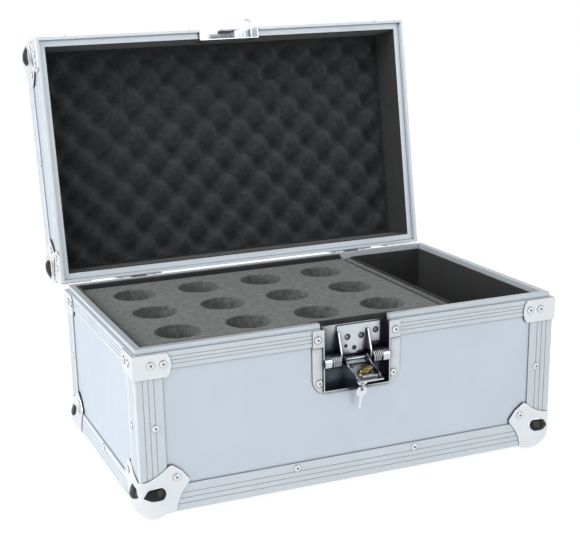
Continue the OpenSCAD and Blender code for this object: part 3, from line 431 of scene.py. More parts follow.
class PatternShop:
    """Builds each shared node group once and places it in materials."""

    def __init__(self) -> None:
        """Starts with no group built."""
        self.built: dict[Pattern, bpy.types.NodeTree] = {}

    def group(self, pattern: Pattern) -> bpy.types.NodeTree:
        """The node group of a pattern, built at its first use."""
        if pattern not in self.built:
            self.built[pattern] = getattr(self, f"_build_{pattern.value}")()
        return self.built[pattern]

    def place(self, bench: NodeBench, pattern: Pattern, **values: object) -> bpy.types.Node:
        """Places a pattern's group in a material with its own values."""
        named = {key.replace("_", " ").title(): value for key, value in values.items()}
        node = bench.add("ShaderNodeGroup", node_tree=self.group(pattern))
        for key, value in named.items():
            node.inputs[key].default_value = value
        return node

    @staticmethod
    def _new(name: str, inputs: dict[str, tuple[str, object]], outputs: dict[str, str]) -> tuple:
        """An empty group with its sockets.

        Args:
            name: the group's name.
            inputs: socket name to (kind, value).
            outputs: socket name to kind.

        Returns:
            The tree, its bench, its input node and its output node.
        """
        tree = bpy.data.node_groups.new(name, "ShaderNodeTree")
        for key, (kind, value) in inputs.items():
            socket = tree.interface.new_socket(key, in_out="INPUT", socket_type=f"NodeSocket{kind}")
            socket.default_value = value
        for key, kind in outputs.items():
            tree.interface.new_socket(key, in_out="OUTPUT", socket_type=f"NodeSocket{kind}")
        bench = NodeBench(tree)
        return tree, bench, bench.add("NodeGroupInput"), bench.add("NodeGroupOutput")

    def _build_patches(self) -> bpy.types.NodeTree:
        """Cloudy patches: noise stretched between a low and a high value."""
        tree, bench, given, result = self._new(
            "Patches",
            {"Scale": ("Float", 20.0), "Low": ("Float", 0.0), "High": ("Float", 1.0)},
            {"Value": "Float"},
        )
        noise = bench.noise(bench.on_object(), given.outputs["Scale"], detail=4.0, roughness=0.6)
        spread = bench.ramp(noise, 0.3, 0.7, given.outputs["Low"], given.outputs["High"])
        tree.links.new(spread, result.inputs["Value"])
        return tree

    def _build_streaks(self) -> bpy.types.NodeTree:
        """Fine drawn lines: noise on coordinates that are stretched along one axis."""
        tree, bench, given, result = self._new(
            "Streaks",
            {"Stretch": ("Vector", (1, 1, 1)), "Scale": ("Float", 900.0)},
            {"Value": "Float"},
        )
        stretch = bench.add(
            "ShaderNodeVectorMath", {0: bench.on_object(), 1: given.outputs["Stretch"]},
            operation="MULTIPLY",
        )
        noise = bench.noise(
            stretch.outputs["Vector"], given.outputs["Scale"], detail=3.0, roughness=0.7
        )
        tree.links.new(noise, result.inputs["Value"])
        return tree

    def _build_edges(self) -> bpy.types.NodeTree:
        """Softened edges: the rounded normal, and a mask where it leaves the face's own normal."""
        tree, bench, given, result = self._new(
            "Edges",
            {"Radius": ("Float", 0.4 * MM), "Gain": ("Float", 4.0)},
            {"Normal": "Vector", "Mask": "Float"},
        )
        bevel = bench.add("ShaderNodeBevel", {"Radius": given.outputs["Radius"]}, samples=4)
        face = bench.add("ShaderNodeNewGeometry")
        alike = bench.add(
            "ShaderNodeVectorMath", {0: bevel.outputs["Normal"], 1: face.outputs["True Normal"]},
            operation="DOT_PRODUCT",
        )
        apart = bench.math("SUBTRACT", 1.0, alike.outputs["Value"])
        mask = bench.math("MULTIPLY", apart, given.outputs["Gain"], use_clamp=True)
        tree.links.new(bevel.outputs["Normal"], result.inputs["Normal"])
        tree.links.new(mask, result.inputs["Mask"])
        return tree

    def _build_pores(self) -> bpy.types.NodeTree:
        """Open foam cells: the distance from cell centres times noise, over coarse mottling."""
        tree, bench, given, result = self._new(
            "Pores", {"Scale": ("Float", 700.0)}, {"Height": "Float", "Mask": "Float"}
        )
        place, scale = bench.on_object(), given.outputs["Scale"]
        cells = bench.add("ShaderNodeTexVoronoi", {"Vector": place, "Scale": scale})
        noise = bench.noise(place, scale, detail=2.0)
        mottle = bench.noise(place, 160.0, detail=6.0, roughness=0.75)
        height = bench.math("MULTIPLY", cells.outputs["Distance"], noise)
        tree.links.new(height, result.inputs["Height"])
        tree.links.new(bench.ramp(mottle, 0.32, 0.68), result.inputs["Mask"])
        return tree

    def _build_fibres(self) -> bpy.types.NodeTree:
        """Felt fibres: two layers of noise, one stretched a little across the other."""
        tree, bench, given, result = self._new(
            "Fibres", {"Scale": ("Float", 500.0)}, {"Height": "Float", "Mask": "Float"}
        )
        place = bench.on_object()
        long = bench.add(
            "ShaderNodeVectorMath", {0: place, 1: (0.35, 1.0, 0.6)}, operation="MULTIPLY"
        )
        fine = bench.noise(
            long.outputs["Vector"], given.outputs["Scale"], detail=5.0, roughness=0.8
        )
        broad = bench.noise(place, 30.0, detail=4.0)
        tree.links.new(fine, result.inputs["Height"])
        tree.links.new(bench.math("MULTIPLY", fine, broad, use_clamp=True), result.inputs["Mask"])
        return tree

    def _build_painted_shade(self) -> bpy.types.NodeTree:
        """Painted shade mask, the openness of a spot: 0 in a narrow gap or at the foot of a step, 1
        in the open.
        """
        tree, bench, given, result = self._new(
            "PaintedShade",
            {"Reach": ("Float", 3 * MM), "Closed": ("Float", 0.5), "Open": ("Float", 0.9)},
            {"Mask": "Float"},
        )
        around = bench.add(
            "ShaderNodeAmbientOcclusion", {"Distance": given.outputs["Reach"]}, samples=6
        )
        spread = bench.ramp(around.outputs["AO"], given.outputs["Closed"], given.outputs["Open"])
        tree.links.new(spread, result.inputs["Mask"])
        return tree


@dataclass(frozen=True)
class Finish:
    """What every finish has: its material's name and its slot in the record."""

    name: str
    slot: str
    colour: Colour

    def start(self) -> tuple[bpy.types.Material, NodeBench, bpy.types.Node]:
        """A new material with its bench and a Principled shader joined to the output."""
        material = bpy.data.materials.new(self.name)
        material.use_nodes = True
        material.diffuse_color = (*self.colour, 1)
        bench = NodeBench(material.node_tree)
        shader = bench.add("ShaderNodeBsdfPrincipled")
        bench.add("ShaderNodeOutputMaterial", {"Surface": shader.outputs["BSDF"]})
        return material, bench, shader

    @staticmethod
    def mix(bench: NodeBench, share: Socket, first: object, second: object) -> Socket:
        """Colour between two colours or colour sockets, by a mask."""
        both = [value if isinstance(value, Socket) else (*value, 1) for value in (first, second)]
        node = bench.add("ShaderNodeMix", {0: share, 6: both[0], 7: both[1]}, data_type="RGBA")
        return node.outputs[2]

    @staticmethod
    def bump(
        bench: NodeBench, strength: float, depth: float, height: Socket, **more: Socket
    ) -> Socket:
        """The surface's normal with a relief of the given depth laid on it."""
        named = {key.title(): value for key, value in more.items()}
        node = bench.add(
            "ShaderNodeBump", {"Strength": strength, "Distance": depth, "Height": height, **named}
        )
        return node.outputs["Normal"]

    @staticmethod
    def feed(bench: NodeBench, shader: bpy.types.Node, tone: Socket, rough: bpy.types.Node,
             normal: Socket) -> None:
        """Feeds colour, roughness and normal to the shader."""
        bench.tree.links.new(tone, shader.inputs["Base Color"])
        bench.tree.links.new(rough.outputs["Value"], shader.inputs["Roughness"])
        bench.tree.links.new(normal, shader.inputs["Normal"])


@dataclass(frozen=True)
class MetalFinish(Finish):
    """Metal with patchy gloss, drawn lines or grain, soft edges lightened as rubbed metal with a
    painted highlight, and painted shade in gaps and recesses.
    """

    # edge colour: rubbed metal plus a painted highlight
    bright: Colour = (0.9, 0.92, 0.94)
    rough_low: float = 0.2
    rough_high: float = 0.3
    metallic: float = 1.0
    stretch: Triple = (1.0, 1.0, 1.0)
    grain_scale: float = 900.0
    grain_depth: float = 0.02 * MM
    edge_radius: float = 0.4 * MM
    # colour of the painted shade in gaps and recesses; reach, closed and open shape its mask
    grime: Colour = (0.05, 0.06, 0.08)
    reach: float = 3 * MM
    closed: float = 0.5
    open: float = 0.9

    def make(self, shop: PatternShop) -> bpy.types.Material:
        """The material: colour varies by patches, lightens at edges as rubbed metal with a painted
        highlight and darkens with painted shade in gaps and recesses, and lines feed the bump."""
        material, bench, shader = self.start()
        tint = shop.place(bench, Pattern.PATCHES, scale=9.0, low=0.0, high=1.0)
        gloss = shop.place(
            bench, Pattern.PATCHES, scale=45.0, low=self.rough_low, high=self.rough_high
        )
        edges = shop.place(bench, Pattern.EDGES, radius=self.edge_radius)
        lines = shop.place(bench, Pattern.STREAKS, stretch=self.stretch, scale=self.grain_scale)
        shade = tuple(0.94 * c for c in self.colour)
        body = self.mix(bench, tint.outputs["Value"], shade, self.colour)
        # edges lightened: rubbed metal plus a painted highlight
        wear_and_highlight = self.mix(bench, edges.outputs["Mask"], body, self.bright)
        # painted shade: colour darkened where ambient occlusion finds gaps and recesses
        painted_shade = shop.place(
            bench, Pattern.PAINTED_SHADE, reach=self.reach, closed=self.closed, open=self.open
        )
        with_painted_shade = self.mix(bench, painted_shade.outputs["Mask"], self.grime, wear_and_highlight)
        relief = self.bump(
            bench, 0.5, self.grain_depth, lines.outputs["Value"], normal=edges.outputs["Normal"]
        )
        shader.inputs["Metallic"].default_value = self.metallic
        self.feed(bench, shader, with_painted_shade, gloss, relief)
        return material


@dataclass(frozen=True)
class FoamFinish(Finish):
    """Open-cell foam: mottled, rough, with a little sheen on its cut fibres."""

    light: Colour = (0.3, 0.3, 0.3)
    pore_scale: float = 700.0
    pore_depth: float = 0.6 * MM
    sheen: float = 0.2

    def make(self, shop: PatternShop) -> bpy.types.Material:
        """The material: colour by mottling, bump by pores."""
        material, bench, shader = self.start()
        pores = shop.place(bench, Pattern.PORES, scale=self.pore_scale)
        tone = self.mix(bench, pores.outputs["Mask"], self.colour, self.light)
        relief = self.bump(bench, 0.8, self.pore_depth, pores.outputs["Height"])
        rough = shop.place(bench, Pattern.PATCHES, scale=60.0, low=0.88, high=0.98)
        shader.inputs["Sheen Weight"].default_value = self.sheen
        shader.inputs["Sheen Roughness"].default_value = 0.6
        shader.inputs["Specular IOR Level"].default_value = 0.2
        self.feed(bench, shader, tone, rough, relief)
        return material


@dataclass(frozen=True)
class FeltFinish(Finish):
    """Needle felt: fine fibres in two tones."""

    light: Colour = (0.08, 0.08, 0.08)
    fibre_scale: float = 500.0
    sheen: float = 0.35

    def make(self, shop: PatternShop) -> bpy.types.Material:
        """The material: colour and bump by the fibres."""
        material, bench, shader = self.start()
        fibres = shop.place(bench, Pattern.FIBRES, scale=self.fibre_scale)
        tone = self.mix(bench, fibres.outputs["Mask"], self.colour, self.light)
        relief = self.bump(bench, 0.6, 0.3 * MM, fibres.outputs["Height"])
        rough = shop.place(bench, Pattern.PATCHES, scale=50.0, low=0.8, high=0.95)
        shader.inputs["Sheen Weight"].default_value = self.sheen
        shader.inputs["Sheen Roughness"].default_value = 0.5
        self.feed(bench, shader, tone, rough, relief)
        return material


@dataclass(frozen=True)
class PlasticFinish(Finish):
    """Moulded plastic: near black, glossy or grained."""

    light: Colour = (0.05, 0.05, 0.05)
    rough_low: float = 0.08
    rough_high: float = 0.14
    grain_depth: float = 0.01 * MM
    specular: float = 0.3

    def make(self, shop: PatternShop) -> bpy.types.Material:
        """The material: faint patches in tone and gloss, fine grain in the bump."""
        material, bench, shader = self.start()
        shader.inputs["Specular IOR Level"].default_value = self.specular
        tint = shop.place(bench, Pattern.PATCHES, scale=120.0, low=0.0, high=1.0)
        tone = self.mix(bench, tint.outputs["Value"], self.colour, self.light)
        gloss = shop.place(
            bench, Pattern.PATCHES, scale=70.0, low=self.rough_low, high=self.rough_high
        )
        grain = shop.place(bench, Pattern.STREAKS, scale=1500.0)
        relief = self.bump(bench, 0.4, self.grain_depth, grain.outputs["Value"])
        self.feed(bench, shader, tone, gloss, relief)
        return material


@dataclass(frozen=True)
class WoodFinish(Finish):
    """Plywood: pale grain along x."""

    light: Colour = (0.6, 0.5, 0.35)

    def make(self, shop: PatternShop) -> bpy.types.Material:
        """The material: long streaks in colour and bump."""
        material, bench, shader = self.start()
        grain = shop.place(bench, Pattern.STREAKS, stretch=(0.04, 1.0, 1.0), scale=260.0)
        tone = self.mix(bench, grain.outputs["Value"], self.colour, self.light)
        relief = self.bump(bench, 0.5, 0.1 * MM, grain.outputs["Value"])
        rough = shop.place(bench, Pattern.PATCHES, scale=30.0, low=0.55, high=0.7)
        self.feed(bench, shader, tone, rough, relief)
        return material


ALONG_X = (0.02, 1.0, 1.0)
ALONG_Y = (1.0, 0.02, 1.0)
ALONG_Z = (1.0, 1.0, 0.02)
ALUMINIUM = srgb(205, 213, 220)


def drawn(name: str, stretch: Triple) -> MetalFinish:
    """Satin aluminium whose drawn lines run along one axis."""
    return MetalFinish(
        name, "extrusion", ALUMINIUM, rough_low=0.4, rough_high=0.46, metallic=0.35,
        # painted shade at the foot of rivets, petals and seams
        stretch=stretch, grain_scale=1400.0, grain_depth=0.008 * MM, grime=(0.16, 0.18, 0.21),
        reach=2.5 * MM, closed=0.42, open=0.86,
    )


def plated(name: str, colour: Colour, **values: object) -> MetalFinish:
    """Plated steel with a barely visible grain."""
    return MetalFinish(
        name, "plated_steel", colour, grain_scale=300.0, grain_depth=0.004 * MM, **values
    )


class FinishName(Enum):
    """The finishes of the case's own pieces."""

    PANEL = "panel"
    DRAWN_X = "drawn_x"
    DRAWN_Y = "drawn_y"
    DRAWN_Z = "drawn_z"
    NICKEL = "nickel"
    CHROME = "chrome"
    DISH = "dish"
    WIRE = "wire"
    BRASS = "brass"
    INSERT = "insert"
    CRATE = "crate"
    FELT = "felt"
    DIVIDER = "divider"
    PLYWOOD = "plywood"
    LENS = "lens"
    GRIP = "grip"


FINISHES: dict[FinishName, Finish] = {
    FinishName.PANEL: MetalFinish(
        "panel_foil", "panel_face", srgb(196, 206, 216), rough_low=0.42, rough_high=0.48,
        metallic=0.6, grain_scale=500.0, grain_depth=0.008 * MM,
    ),
    FinishName.DRAWN_X: drawn("drawn_aluminium_x", ALONG_X),
    FinishName.DRAWN_Y: drawn("drawn_aluminium_y", ALONG_Y),
    FinishName.DRAWN_Z: drawn("drawn_aluminium_z", ALONG_Z),
    FinishName.NICKEL: plated(
        "bright_nickel", srgb(218, 223, 227), bright=srgb(238, 241, 244), rough_high=0.28,
        metallic=0.8,
    ),
    # its reach paints shade on the latch parts inside the recess
    FinishName.CHROME: plated(
        "latch_chrome", srgb(196, 202, 208), bright=srgb(236, 240, 244), rough_low=0.1,
        rough_high=0.16, metallic=0.95, grime=(0.02, 0.024, 0.035), reach=14 * MM, open=0.97,
    ),
    # its long reach paints shade across the whole latch recess
    FinishName.DISH: plated(
        "latch_dish_steel", srgb(206, 212, 216), bright=srgb(232, 236, 240), rough_high=0.28,
        metallic=0.85, grime=(0.03, 0.036, 0.052), reach=60 * MM, closed=0.68, open=0.97,
    ),
    # painted shade darkens the coils where they wind close together
    FinishName.WIRE: MetalFinish(
        "drawn_wire", "spring_wire", srgb(168, 173, 178), rough_low=0.14, rough_high=0.22,
        grime=(0.015, 0.018, 0.025), reach=6 * MM, closed=0.35, open=0.9,
    ),
    FinishName.BRASS: MetalFinish(
        "turned_brass", "lock_brass", srgb(206, 184, 118), bright=srgb(236, 220, 166),
        rough_low=0.2, rough_high=0.3,
    ),
    FinishName.INSERT: FoamFinish(
        "insert_foam", "insert_foam", srgb(62, 65, 65), light=srgb(112, 115, 114)
    ),
    FinishName.CRATE: FoamFinish(
        "crate_foam", "lid_foam", srgb(22, 24, 27), light=srgb(54, 57, 60), pore_scale=600.0
    ),
    FinishName.FELT: FeltFinish(
        "black_felt", "lining", srgb(18, 19, 20), light=srgb(48, 49, 50), sheen=0.15
    ),
    FinishName.DIVIDER: FeltFinish(
        "divider_felt", "divider_board", srgb(40, 42, 44), light=srgb(78, 80, 82)
    ),
    FinishName.PLYWOOD: WoodFinish(
        "plywood", "board", srgb(176, 150, 112), light=srgb(206, 184, 146)
    ),
    FinishName.LENS: PlasticFinish(
        "lens_black", "lens_black", srgb(12, 12, 14), light=srgb(20, 20, 22)
    ),
    FinishName.GRIP: PlasticFinish(
        "grip_plastic", "grip_plastic", srgb(28, 28, 30), light=srgb(40, 40, 42),
        rough_low=0.5, rough_high=0.62, grain_depth=0.1 * MM,
    ),
}


class Dresser:
    """Holds the materials and puts them on pieces and carried CAD nodes."""

    def __init__(self, nodes: dict[str, bpy.types.Object]) -> None:
        """Builds every material.

        Args:
            nodes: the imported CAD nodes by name.
        """
        shop = PatternShop()
        self.nodes = nodes
        self.materials = {name: finish.make(shop) for name, finish in FINISHES.items()}

    def piece(
        self, piece: bpy.types.Object, finish: FinishName, body: str, *replaced: str
    ) -> bpy.types.Object:
        """Gives a new piece its finish, its body and the CAD nodes that it stands for.

        Args:
            piece: the new mesh.
            finish: its finish.
            body: the CAD body it rides on.
            replaced: CAD nodes that it replaces.

        Returns:
            The same piece.
        """
        piece.data.materials.append(self.materials[finish])
        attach(piece, body)
        if replaced:
            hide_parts(*replaced)
        LOG.info("%s: %d triangles, %s, on %s", piece.name, triangles(piece), finish.value, body)
        return piece

    def node(self, name: str, finish: FinishName) -> None:
        """Gives a carried CAD node its finish."""
        slots = self.nodes[name].data.materials
        slots.clear()
        slots.append(self.materials[finish])
        LOG.info("%s: carried, %s", name, finish.value)


# ---- interior -------------------------------------------------------------------------


@dataclass
class EggCrate:
    """Egg-crate foam in the lid. Its free side swells with the cosines of both directions."""

    dresser: Dresser
    pose: LidPose
    gap: float = 1.6 * MM
    thick: float = 27 * MM
    hollow_thick: float = 7 * MM
    pitch: float = 48.3 * MM
    step: float = 1.6 * MM
    back_gap: float = 0.1 * MM
    fullness: float = 0.9
    sharp_deg: float = 60

    def build(self) -> bpy.types.Object:
        """Makes the foam: the crate side, its edges and its back.

        Depth under the lid panel is the mean thickness plus half the swell times the product
        of the cosines of 2 pi x / pitch and 2 pi y / pitch, raised to the fullness. Near an
        edge the swell fades out.

        Returns:
            The piece.
        """
        inset = SIZES.rim_in + self.gap
        half = np.array([SIZES.width / 2 - inset, SIZES.depth / 2 - inset])
        count = np.floor(2 * half / self.pitch)
        start = -count * self.pitch / 2
        x = np.linspace(-half[0], half[0], int(2 * half[0] / self.step) + 1)[:, None]
        y = np.linspace(-half[1], half[1], int(2 * half[1] / self.step) + 1)[None, :]
        wave_x = np.cos(2 * np.pi * (x - start[0]) / self.pitch)
        wave_y = np.cos(2 * np.pi * (y - start[1]) / self.pitch)
        beyond_x = np.clip((np.abs(x) + start[0]) / (half[0] + start[0]), 0, 1)
        beyond_y = np.clip((np.abs(y) + start[1]) / (half[1] + start[1]), 0, 1)
        fade = np.cos(np.pi / 2 * beyond_x) * np.cos(np.pi / 2 * beyond_y)
        wave = wave_x * wave_y
        crown = np.sign(wave) * np.abs(wave) ** self.fullness
        mean = (self.thick + self.hollow_thick) / 2
        depth = mean + (self.thick - self.hollow_thick) / 2 * crown * fade
        top = SIZES.lid_top - SIZES.panel_in - self.back_gap
        free = np.stack(np.broadcast_arrays(x, y, top - depth), -1)
        edge = np.concatenate([free[:, 0], free[-1, 1:], free[-2::-1, -1], free[0, -2:0:-1]])
        back = edge.copy()
        back[:, 2] = top
        foam = Surface("lid_crate_foam")
        foam.grid(self.pose.open(free))
        skirt = foam.grid(self.pose.open(np.stack([edge, back])), close_columns=True)
        foam.cap(skirt + len(edge), len(edge))
        piece = self.dresser.piece(foam.build(self.sharp_deg), FinishName.CRATE, "lid", "lid_foam")
        return piece


@dataclass
class WellFoam:
    """Foam insert with stepped round wells and soft cut edges."""

    dresser: Dresser
    columns: int = 4
    rows: int = 3
    first_x: float = 70 * MM
    pitch: Pair = (82 * MM, 83 * MM)
    pocket: Pair = (25.5 * MM, 28 * MM)
    bore: Pair = (20 * MM, 150 * MM)
    right_edge: float = 370 * MM
    gap: float = 4.6 * MM
    below_joint: float = 0.5 * MM
    edge_round: float = 1.2 * MM
    side_steps: int = 18
    dish_floor: float = 71.6 * MM

    def _lines(self) -> tuple[Array, Array]:
        """Cell borders across and along: midway between wells, and the foam's own edges."""
        inset = SIZES.rim_in + self.gap + self.edge_round
        left = -SIZES.width / 2
        wells_x = left + self.first_x + self.pitch[0] * np.arange(self.columns)
        wells_y = self.pitch[1] * (np.arange(self.rows) - (self.rows - 1) / 2)
        inner_x = (wells_x[1:] + wells_x[:-1]) / 2
        inner_y = (wells_y[1:] + wells_y[:-1]) / 2
        x = np.concatenate([[left + inset], inner_x, [left + self.right_edge - self.edge_round]])
        y = np.concatenate([[inset - SIZES.depth / 2], inner_y, [SIZES.depth / 2 - inset]])
        return x, y

    def _well(self, box: tuple[float, float, float, float], centre: Array, top: float) -> Array:
        """One well with the cell of top face round it.

        From the cell's border, straight lines run in to the mouth's circle. Then the radius
        and the height follow the well's profile: rounded mouth, pocket, ledge, bore, bottom.

        Args:
            box: the cell, (x0, x1, y0, y1).
            centre: the well's centre, (x, y).
            top: height of the foam's top.

        Returns:
            Points as (profile, round the well, 3).
        """
        x0, x1, y0, y1 = box
        share = np.arange(self.side_steps) / self.side_steps
        right = np.stack([np.full_like(share, x1), y0 + share * (y1 - y0)], -1)
        back = np.stack([x1 - share * (x1 - x0), np.full_like(share, y1)], -1)
        left = np.stack([np.full_like(share, x0), y1 - share * (y1 - y0)], -1)
        front = np.stack([x0 + share * (x1 - x0), np.full_like(share, y0)], -1)
        border = np.concatenate([right, back, left, front])
        circle = arc(-45, 315, 4 * self.side_steps)[:-1]
        r = self.edge_round
        mouth = centre + (self.pocket[0] + r) * circle
        blend = np.linspace(0, 1, 9)[:, None, None]
        face = border[None] * (1 - blend) + mouth[None] * blend
        face = np.concatenate([face, np.full(face.shape[:2] + (1,), top)], -1)
        turn = arc(90, 180, 5)[1:]
        ledge = top - self.pocket[1]
        mouth_round = np.stack([self.pocket[0] + r + r * turn[:, 0], top - r + r * turn[:, 1]], -1)
        ledge_round = np.stack([self.bore[0] + r + r * turn[:, 0], ledge - r + r * turn[:, 1]], -1)
        (wide, _), (narrow, deep) = self.pocket, self.bore
        wall = np.array([[wide, ledge + r], [wide - 0.3 * r, ledge + 0.3 * r], [wide - r, ledge]])
        floor = np.array([[narrow, top - deep + r], [narrow - r, top - deep]])
        profile = np.concatenate([mouth_round, wall, ledge_round, floor])
        ring = centre[None, None] + profile[:, None, :1] * circle[None]
        tall = np.broadcast_to(profile[:, 1][:, None, None], ring.shape[:2] + (1,))
        return np.concatenate([face, np.concatenate([ring, tall], -1)])

    def _outline(self, x: Array, y: Array) -> tuple[Array, Array]:
        """The foam's outline through all border points, with the way out at each point.

        Args:
            x: cell borders across.
            y: cell borders along.

        Returns:
            Points and outward directions, both (n, 2).
        """
        share = np.arange(self.side_steps) / self.side_steps
        sides = [(x, y[0], 0, (0, -1)), (y, x[-1], 1, (1, 0)),
                 (x[::-1], y[-1], 0, (0, 1)), (y[::-1], x[0], 1, (-1, 0))]
        points, ways = [], []
        before = (-1, 0)
        for borders, level, axis, way in sides:
            steps = (borders[:-1, None] + share * np.diff(borders)[:, None]).ravel()
            line = np.full((len(steps), 2), level)
            line[:, axis] = steps
            out = np.tile(np.array(way, float), (len(line), 1))
            out[0] += before
            before = way
            points.append(line)
            ways.append(out)
        return np.concatenate(points), np.concatenate(ways)

    def build(self) -> bpy.types.Object:
        """Makes the foam block from its cells, its rounded upper edge, its walls and its bottom."""
        x, y = self._lines()
        top = SIZES.joint - self.below_joint
        foam = Surface("well_foam")
        for i in range(self.columns):
            for j in range(self.rows):
                centre = np.array([
                    -SIZES.width / 2 + self.first_x + i * self.pitch[0],
                    (j - (self.rows - 1) / 2) * self.pitch[1],
                ])
                grid = self._well((x[i], x[i + 1], y[j], y[j + 1]), centre, top)
                grid = clear_dish(grid, SIZES.joint - self.dish_floor)
                first = foam.grid(grid, close_columns=True)
                foam.cap(first + (len(grid) - 1) * grid.shape[1], grid.shape[1])
        line, way = self._outline(x, y)
        turn = arc(90, 0, 4) * self.edge_round
        rows = np.concatenate([
            np.stack([turn[:, 0], top - self.edge_round + turn[:, 1]], -1),
            [[self.edge_round, top - 0.05], [self.edge_round, SIZES.floor_top]],
        ])
        flat = line[None] + rows[:, :1, None] * way[None]
        tall = np.broadcast_to(rows[:, 1][:, None, None], flat.shape[:2] + (1,))
        walls = clear_dish(np.concatenate([flat, tall], -1), SIZES.joint - self.dish_floor)
        first = foam.grid(walls, close_columns=True)
        foam.cap(first + (len(rows) - 1) * len(line), len(line))
        piece = self.dresser.piece(foam.build(), FinishName.INSERT, "base", "foam_insert")
        return piece


@dataclass
class FeltWork:
    """Felt linings of the compartment and the lid, and the felt-covered divider."""

    dresser: Dresser
    pose: LidPose
    gap: float = 0.1 * MM
    thick: float = 1.2 * MM
    divider_x: float = 376 * MM
    divider_thick: float = 10 * MM
    divider_drop: float = 3 * MM
    below_joint: float = 0.5 * MM
    lid_lip: float = 6.2 * MM
    lid_dish_top: float = 29.4 * MM
    corner: float = 2.5 * MM
    floor_round: float = 5 * MM
    edging: Pair = (4.5 * MM, 40 * MM)
    edging_rise: float = 5.2 * MM
    edging_round: float = 1.4 * MM
    edging_clear: float = 7 * MM
    divider_zone: float = 5.4 * MM
    side_steps: int = 80
    pucker: Pair = (0.25 * MM, 210)

    def bay(self) -> bpy.types.Object:
        """The felt edging round the foam: a dark band on the box's walls, up to the tongue's top,
        that also stands in for the shade of the gap between foam and wall.

        Its section is a strip with a rounded top. Beside the divider it stays below the
        divider's top, and at the latch dish it steps back by the dish's depth.
        """
        x0 = -SIZES.width / 2 + SIZES.rim_in + self.gap
        x1 = -SIZES.width / 2 + self.divider_x - self.gap
        half = np.array([(x1 - x0) / 2, SIZES.depth / 2 - SIZES.rim_in - self.gap])
        thick, tall = self.edging
        low, high = SIZES.joint - tall, SIZES.joint + self.edging_rise
        turn = arc(180, 0, 8)
        fall = self.edging_round * (1 - turn[:, 1])
        lip = np.stack([thick / 2 * (1 + turn[:, 0]), high - fall], -1)
        side = np.linspace(high - 3 * self.edging_round, low, 6)
        outer, inner = np.zeros_like(side), np.full_like(side, thick)
        rows = np.concatenate([
            np.stack([outer, side[::-1]], -1), lip, np.stack([inner, side], -1)
        ])
        grid = rounded_loops(
            np.array([(x0 + x1) / 2, 0]), half, self.corner, rows, self.side_steps
        )
        beside = np.abs(grid[..., 0]) < SIZES.dish_half + self.edging_clear
        front = grid[..., 1] < thick + self.gap - half[1]
        grid[..., 1] += (SIZES.dish_back - SIZES.rim_in + self.gap) * (beside & front)
        by_divider = grid[..., 0] > x1 - self.divider_zone
        under = SIZES.joint - self.divider_drop - self.edging_round
        grid[..., 2] = np.where(by_divider, np.minimum(grid[..., 2], under), grid[..., 2])
        # dark felt band that also paints the shade of the gap between foam and wall
        felt = Surface("bay_felt_and_gap_shade")
        felt.grid(grid, close_rows=True, close_columns=True)
        return self.dresser.piece(felt.build(), FinishName.FELT, "base")

    def compartment(self) -> bpy.types.Object:
        """The compartment's lining: an open box whose inner edges are rounded."""
        x0 = -SIZES.width / 2 + self.divider_x + self.divider_thick
        x1 = SIZES.width / 2 - SIZES.rim_in - self.gap
        half = np.array([(x1 - x0) / 2, SIZES.depth / 2 - SIZES.rim_in - self.gap])
        low, high = SIZES.floor_top, SIZES.joint - self.below_joint
        lip = self.thick / 2 * (1 - arc(0, 180, 6))
        lip[:, 1] = high - self.thick / 2 + (self.thick / 2 - lip[:, 1])
        fillet = np.array([0, low]) + self.thick + self.floor_round
        inner = self.floor_round * arc(180, 270, 6) + fillet
        shrink = half[0] * np.array([0.35, 0.6, 0.85])
        floor = np.stack([shrink, np.full(3, low + self.thick)], -1)
        wall = np.linspace(high - self.thick, fillet[1], 14)[1:-1]
        puckers = self.thick + self.pucker[0] * np.sin(wall * self.pucker[1])
        rows = np.concatenate([
            [[0, low], [0, (low + high) / 2]], lip, np.stack([puckers, wall], -1), inner, floor
        ])
        grid = rounded_loops(np.array([(x0 + x1) / 2, 0]), half, self.corner, rows)
        felt = Surface("compartment_felt")
        first = felt.grid(grid, close_columns=True)
        felt.cap_ends(first, *grid.shape[:2])
        piece = self.dresser.piece(felt.build(), FinishName.FELT, "base", "compartment_lining")
        return piece

    def divider(self) -> bpy.types.Object:
        """The divider: a board in felt, with rounded upper edges."""
        x0 = -SIZES.width / 2 + self.divider_x
        half = np.array([self.divider_thick / 2, SIZES.depth / 2 - SIZES.rim_in - self.gap])
        high = SIZES.joint - self.divider_drop
        edge = 1.6 * MM
        turn = arc(0, 90, 5) * edge
        rows = np.concatenate([
            [[0, SIZES.floor_top]], np.stack([edge - turn[:, 0], high - edge + turn[:, 1]], -1)
        ])
        grid = rounded_loops(np.array([x0 + half[0], 0]), half, edge, rows)
        board = Surface("divider_board")
        first = board.grid(grid, close_columns=True)
        board.cap_ends(first, *grid.shape[:2])
        return self.dresser.piece(board.build(), FinishName.DIVIDER, "base", "divider")

    def lid(self) -> bpy.types.Object:
        """The lid's lining: a felt band round its walls, with a rounded lip at its mouth."""
        half = np.array([SIZES.width / 2, SIZES.depth / 2]) - SIZES.rim_in - self.gap
        low, high = SIZES.lid_foot + self.lid_lip, SIZES.lid_top - SIZES.panel_in
        lip = self.thick / 2 * (1 + arc(180, 360, 6))
        lip[:, 1] = low + lip[:, 1]
        step = np.linspace(low + self.thick, high, 12)
        outer, inner = np.zeros_like(step), np.full_like(step, self.thick)
        rows = np.concatenate([
            np.stack([outer, step[::-1]], -1), lip, np.stack([inner, step], -1)
        ])
        loops = rounded_loops(np.zeros(2), half, self.corner, rows, self.side_steps)
        grid = clear_dish(loops, SIZES.lid_foot + self.lid_dish_top)
        felt = Surface("lid_felt")
        felt.grid(self.pose.open(grid), close_rows=True, close_columns=True)
        piece = self.dresser.piece(felt.build(), FinishName.FELT, "lid", "lid_lining")
        return piece


# ---- ball corners ---------------------------------------------------------------------


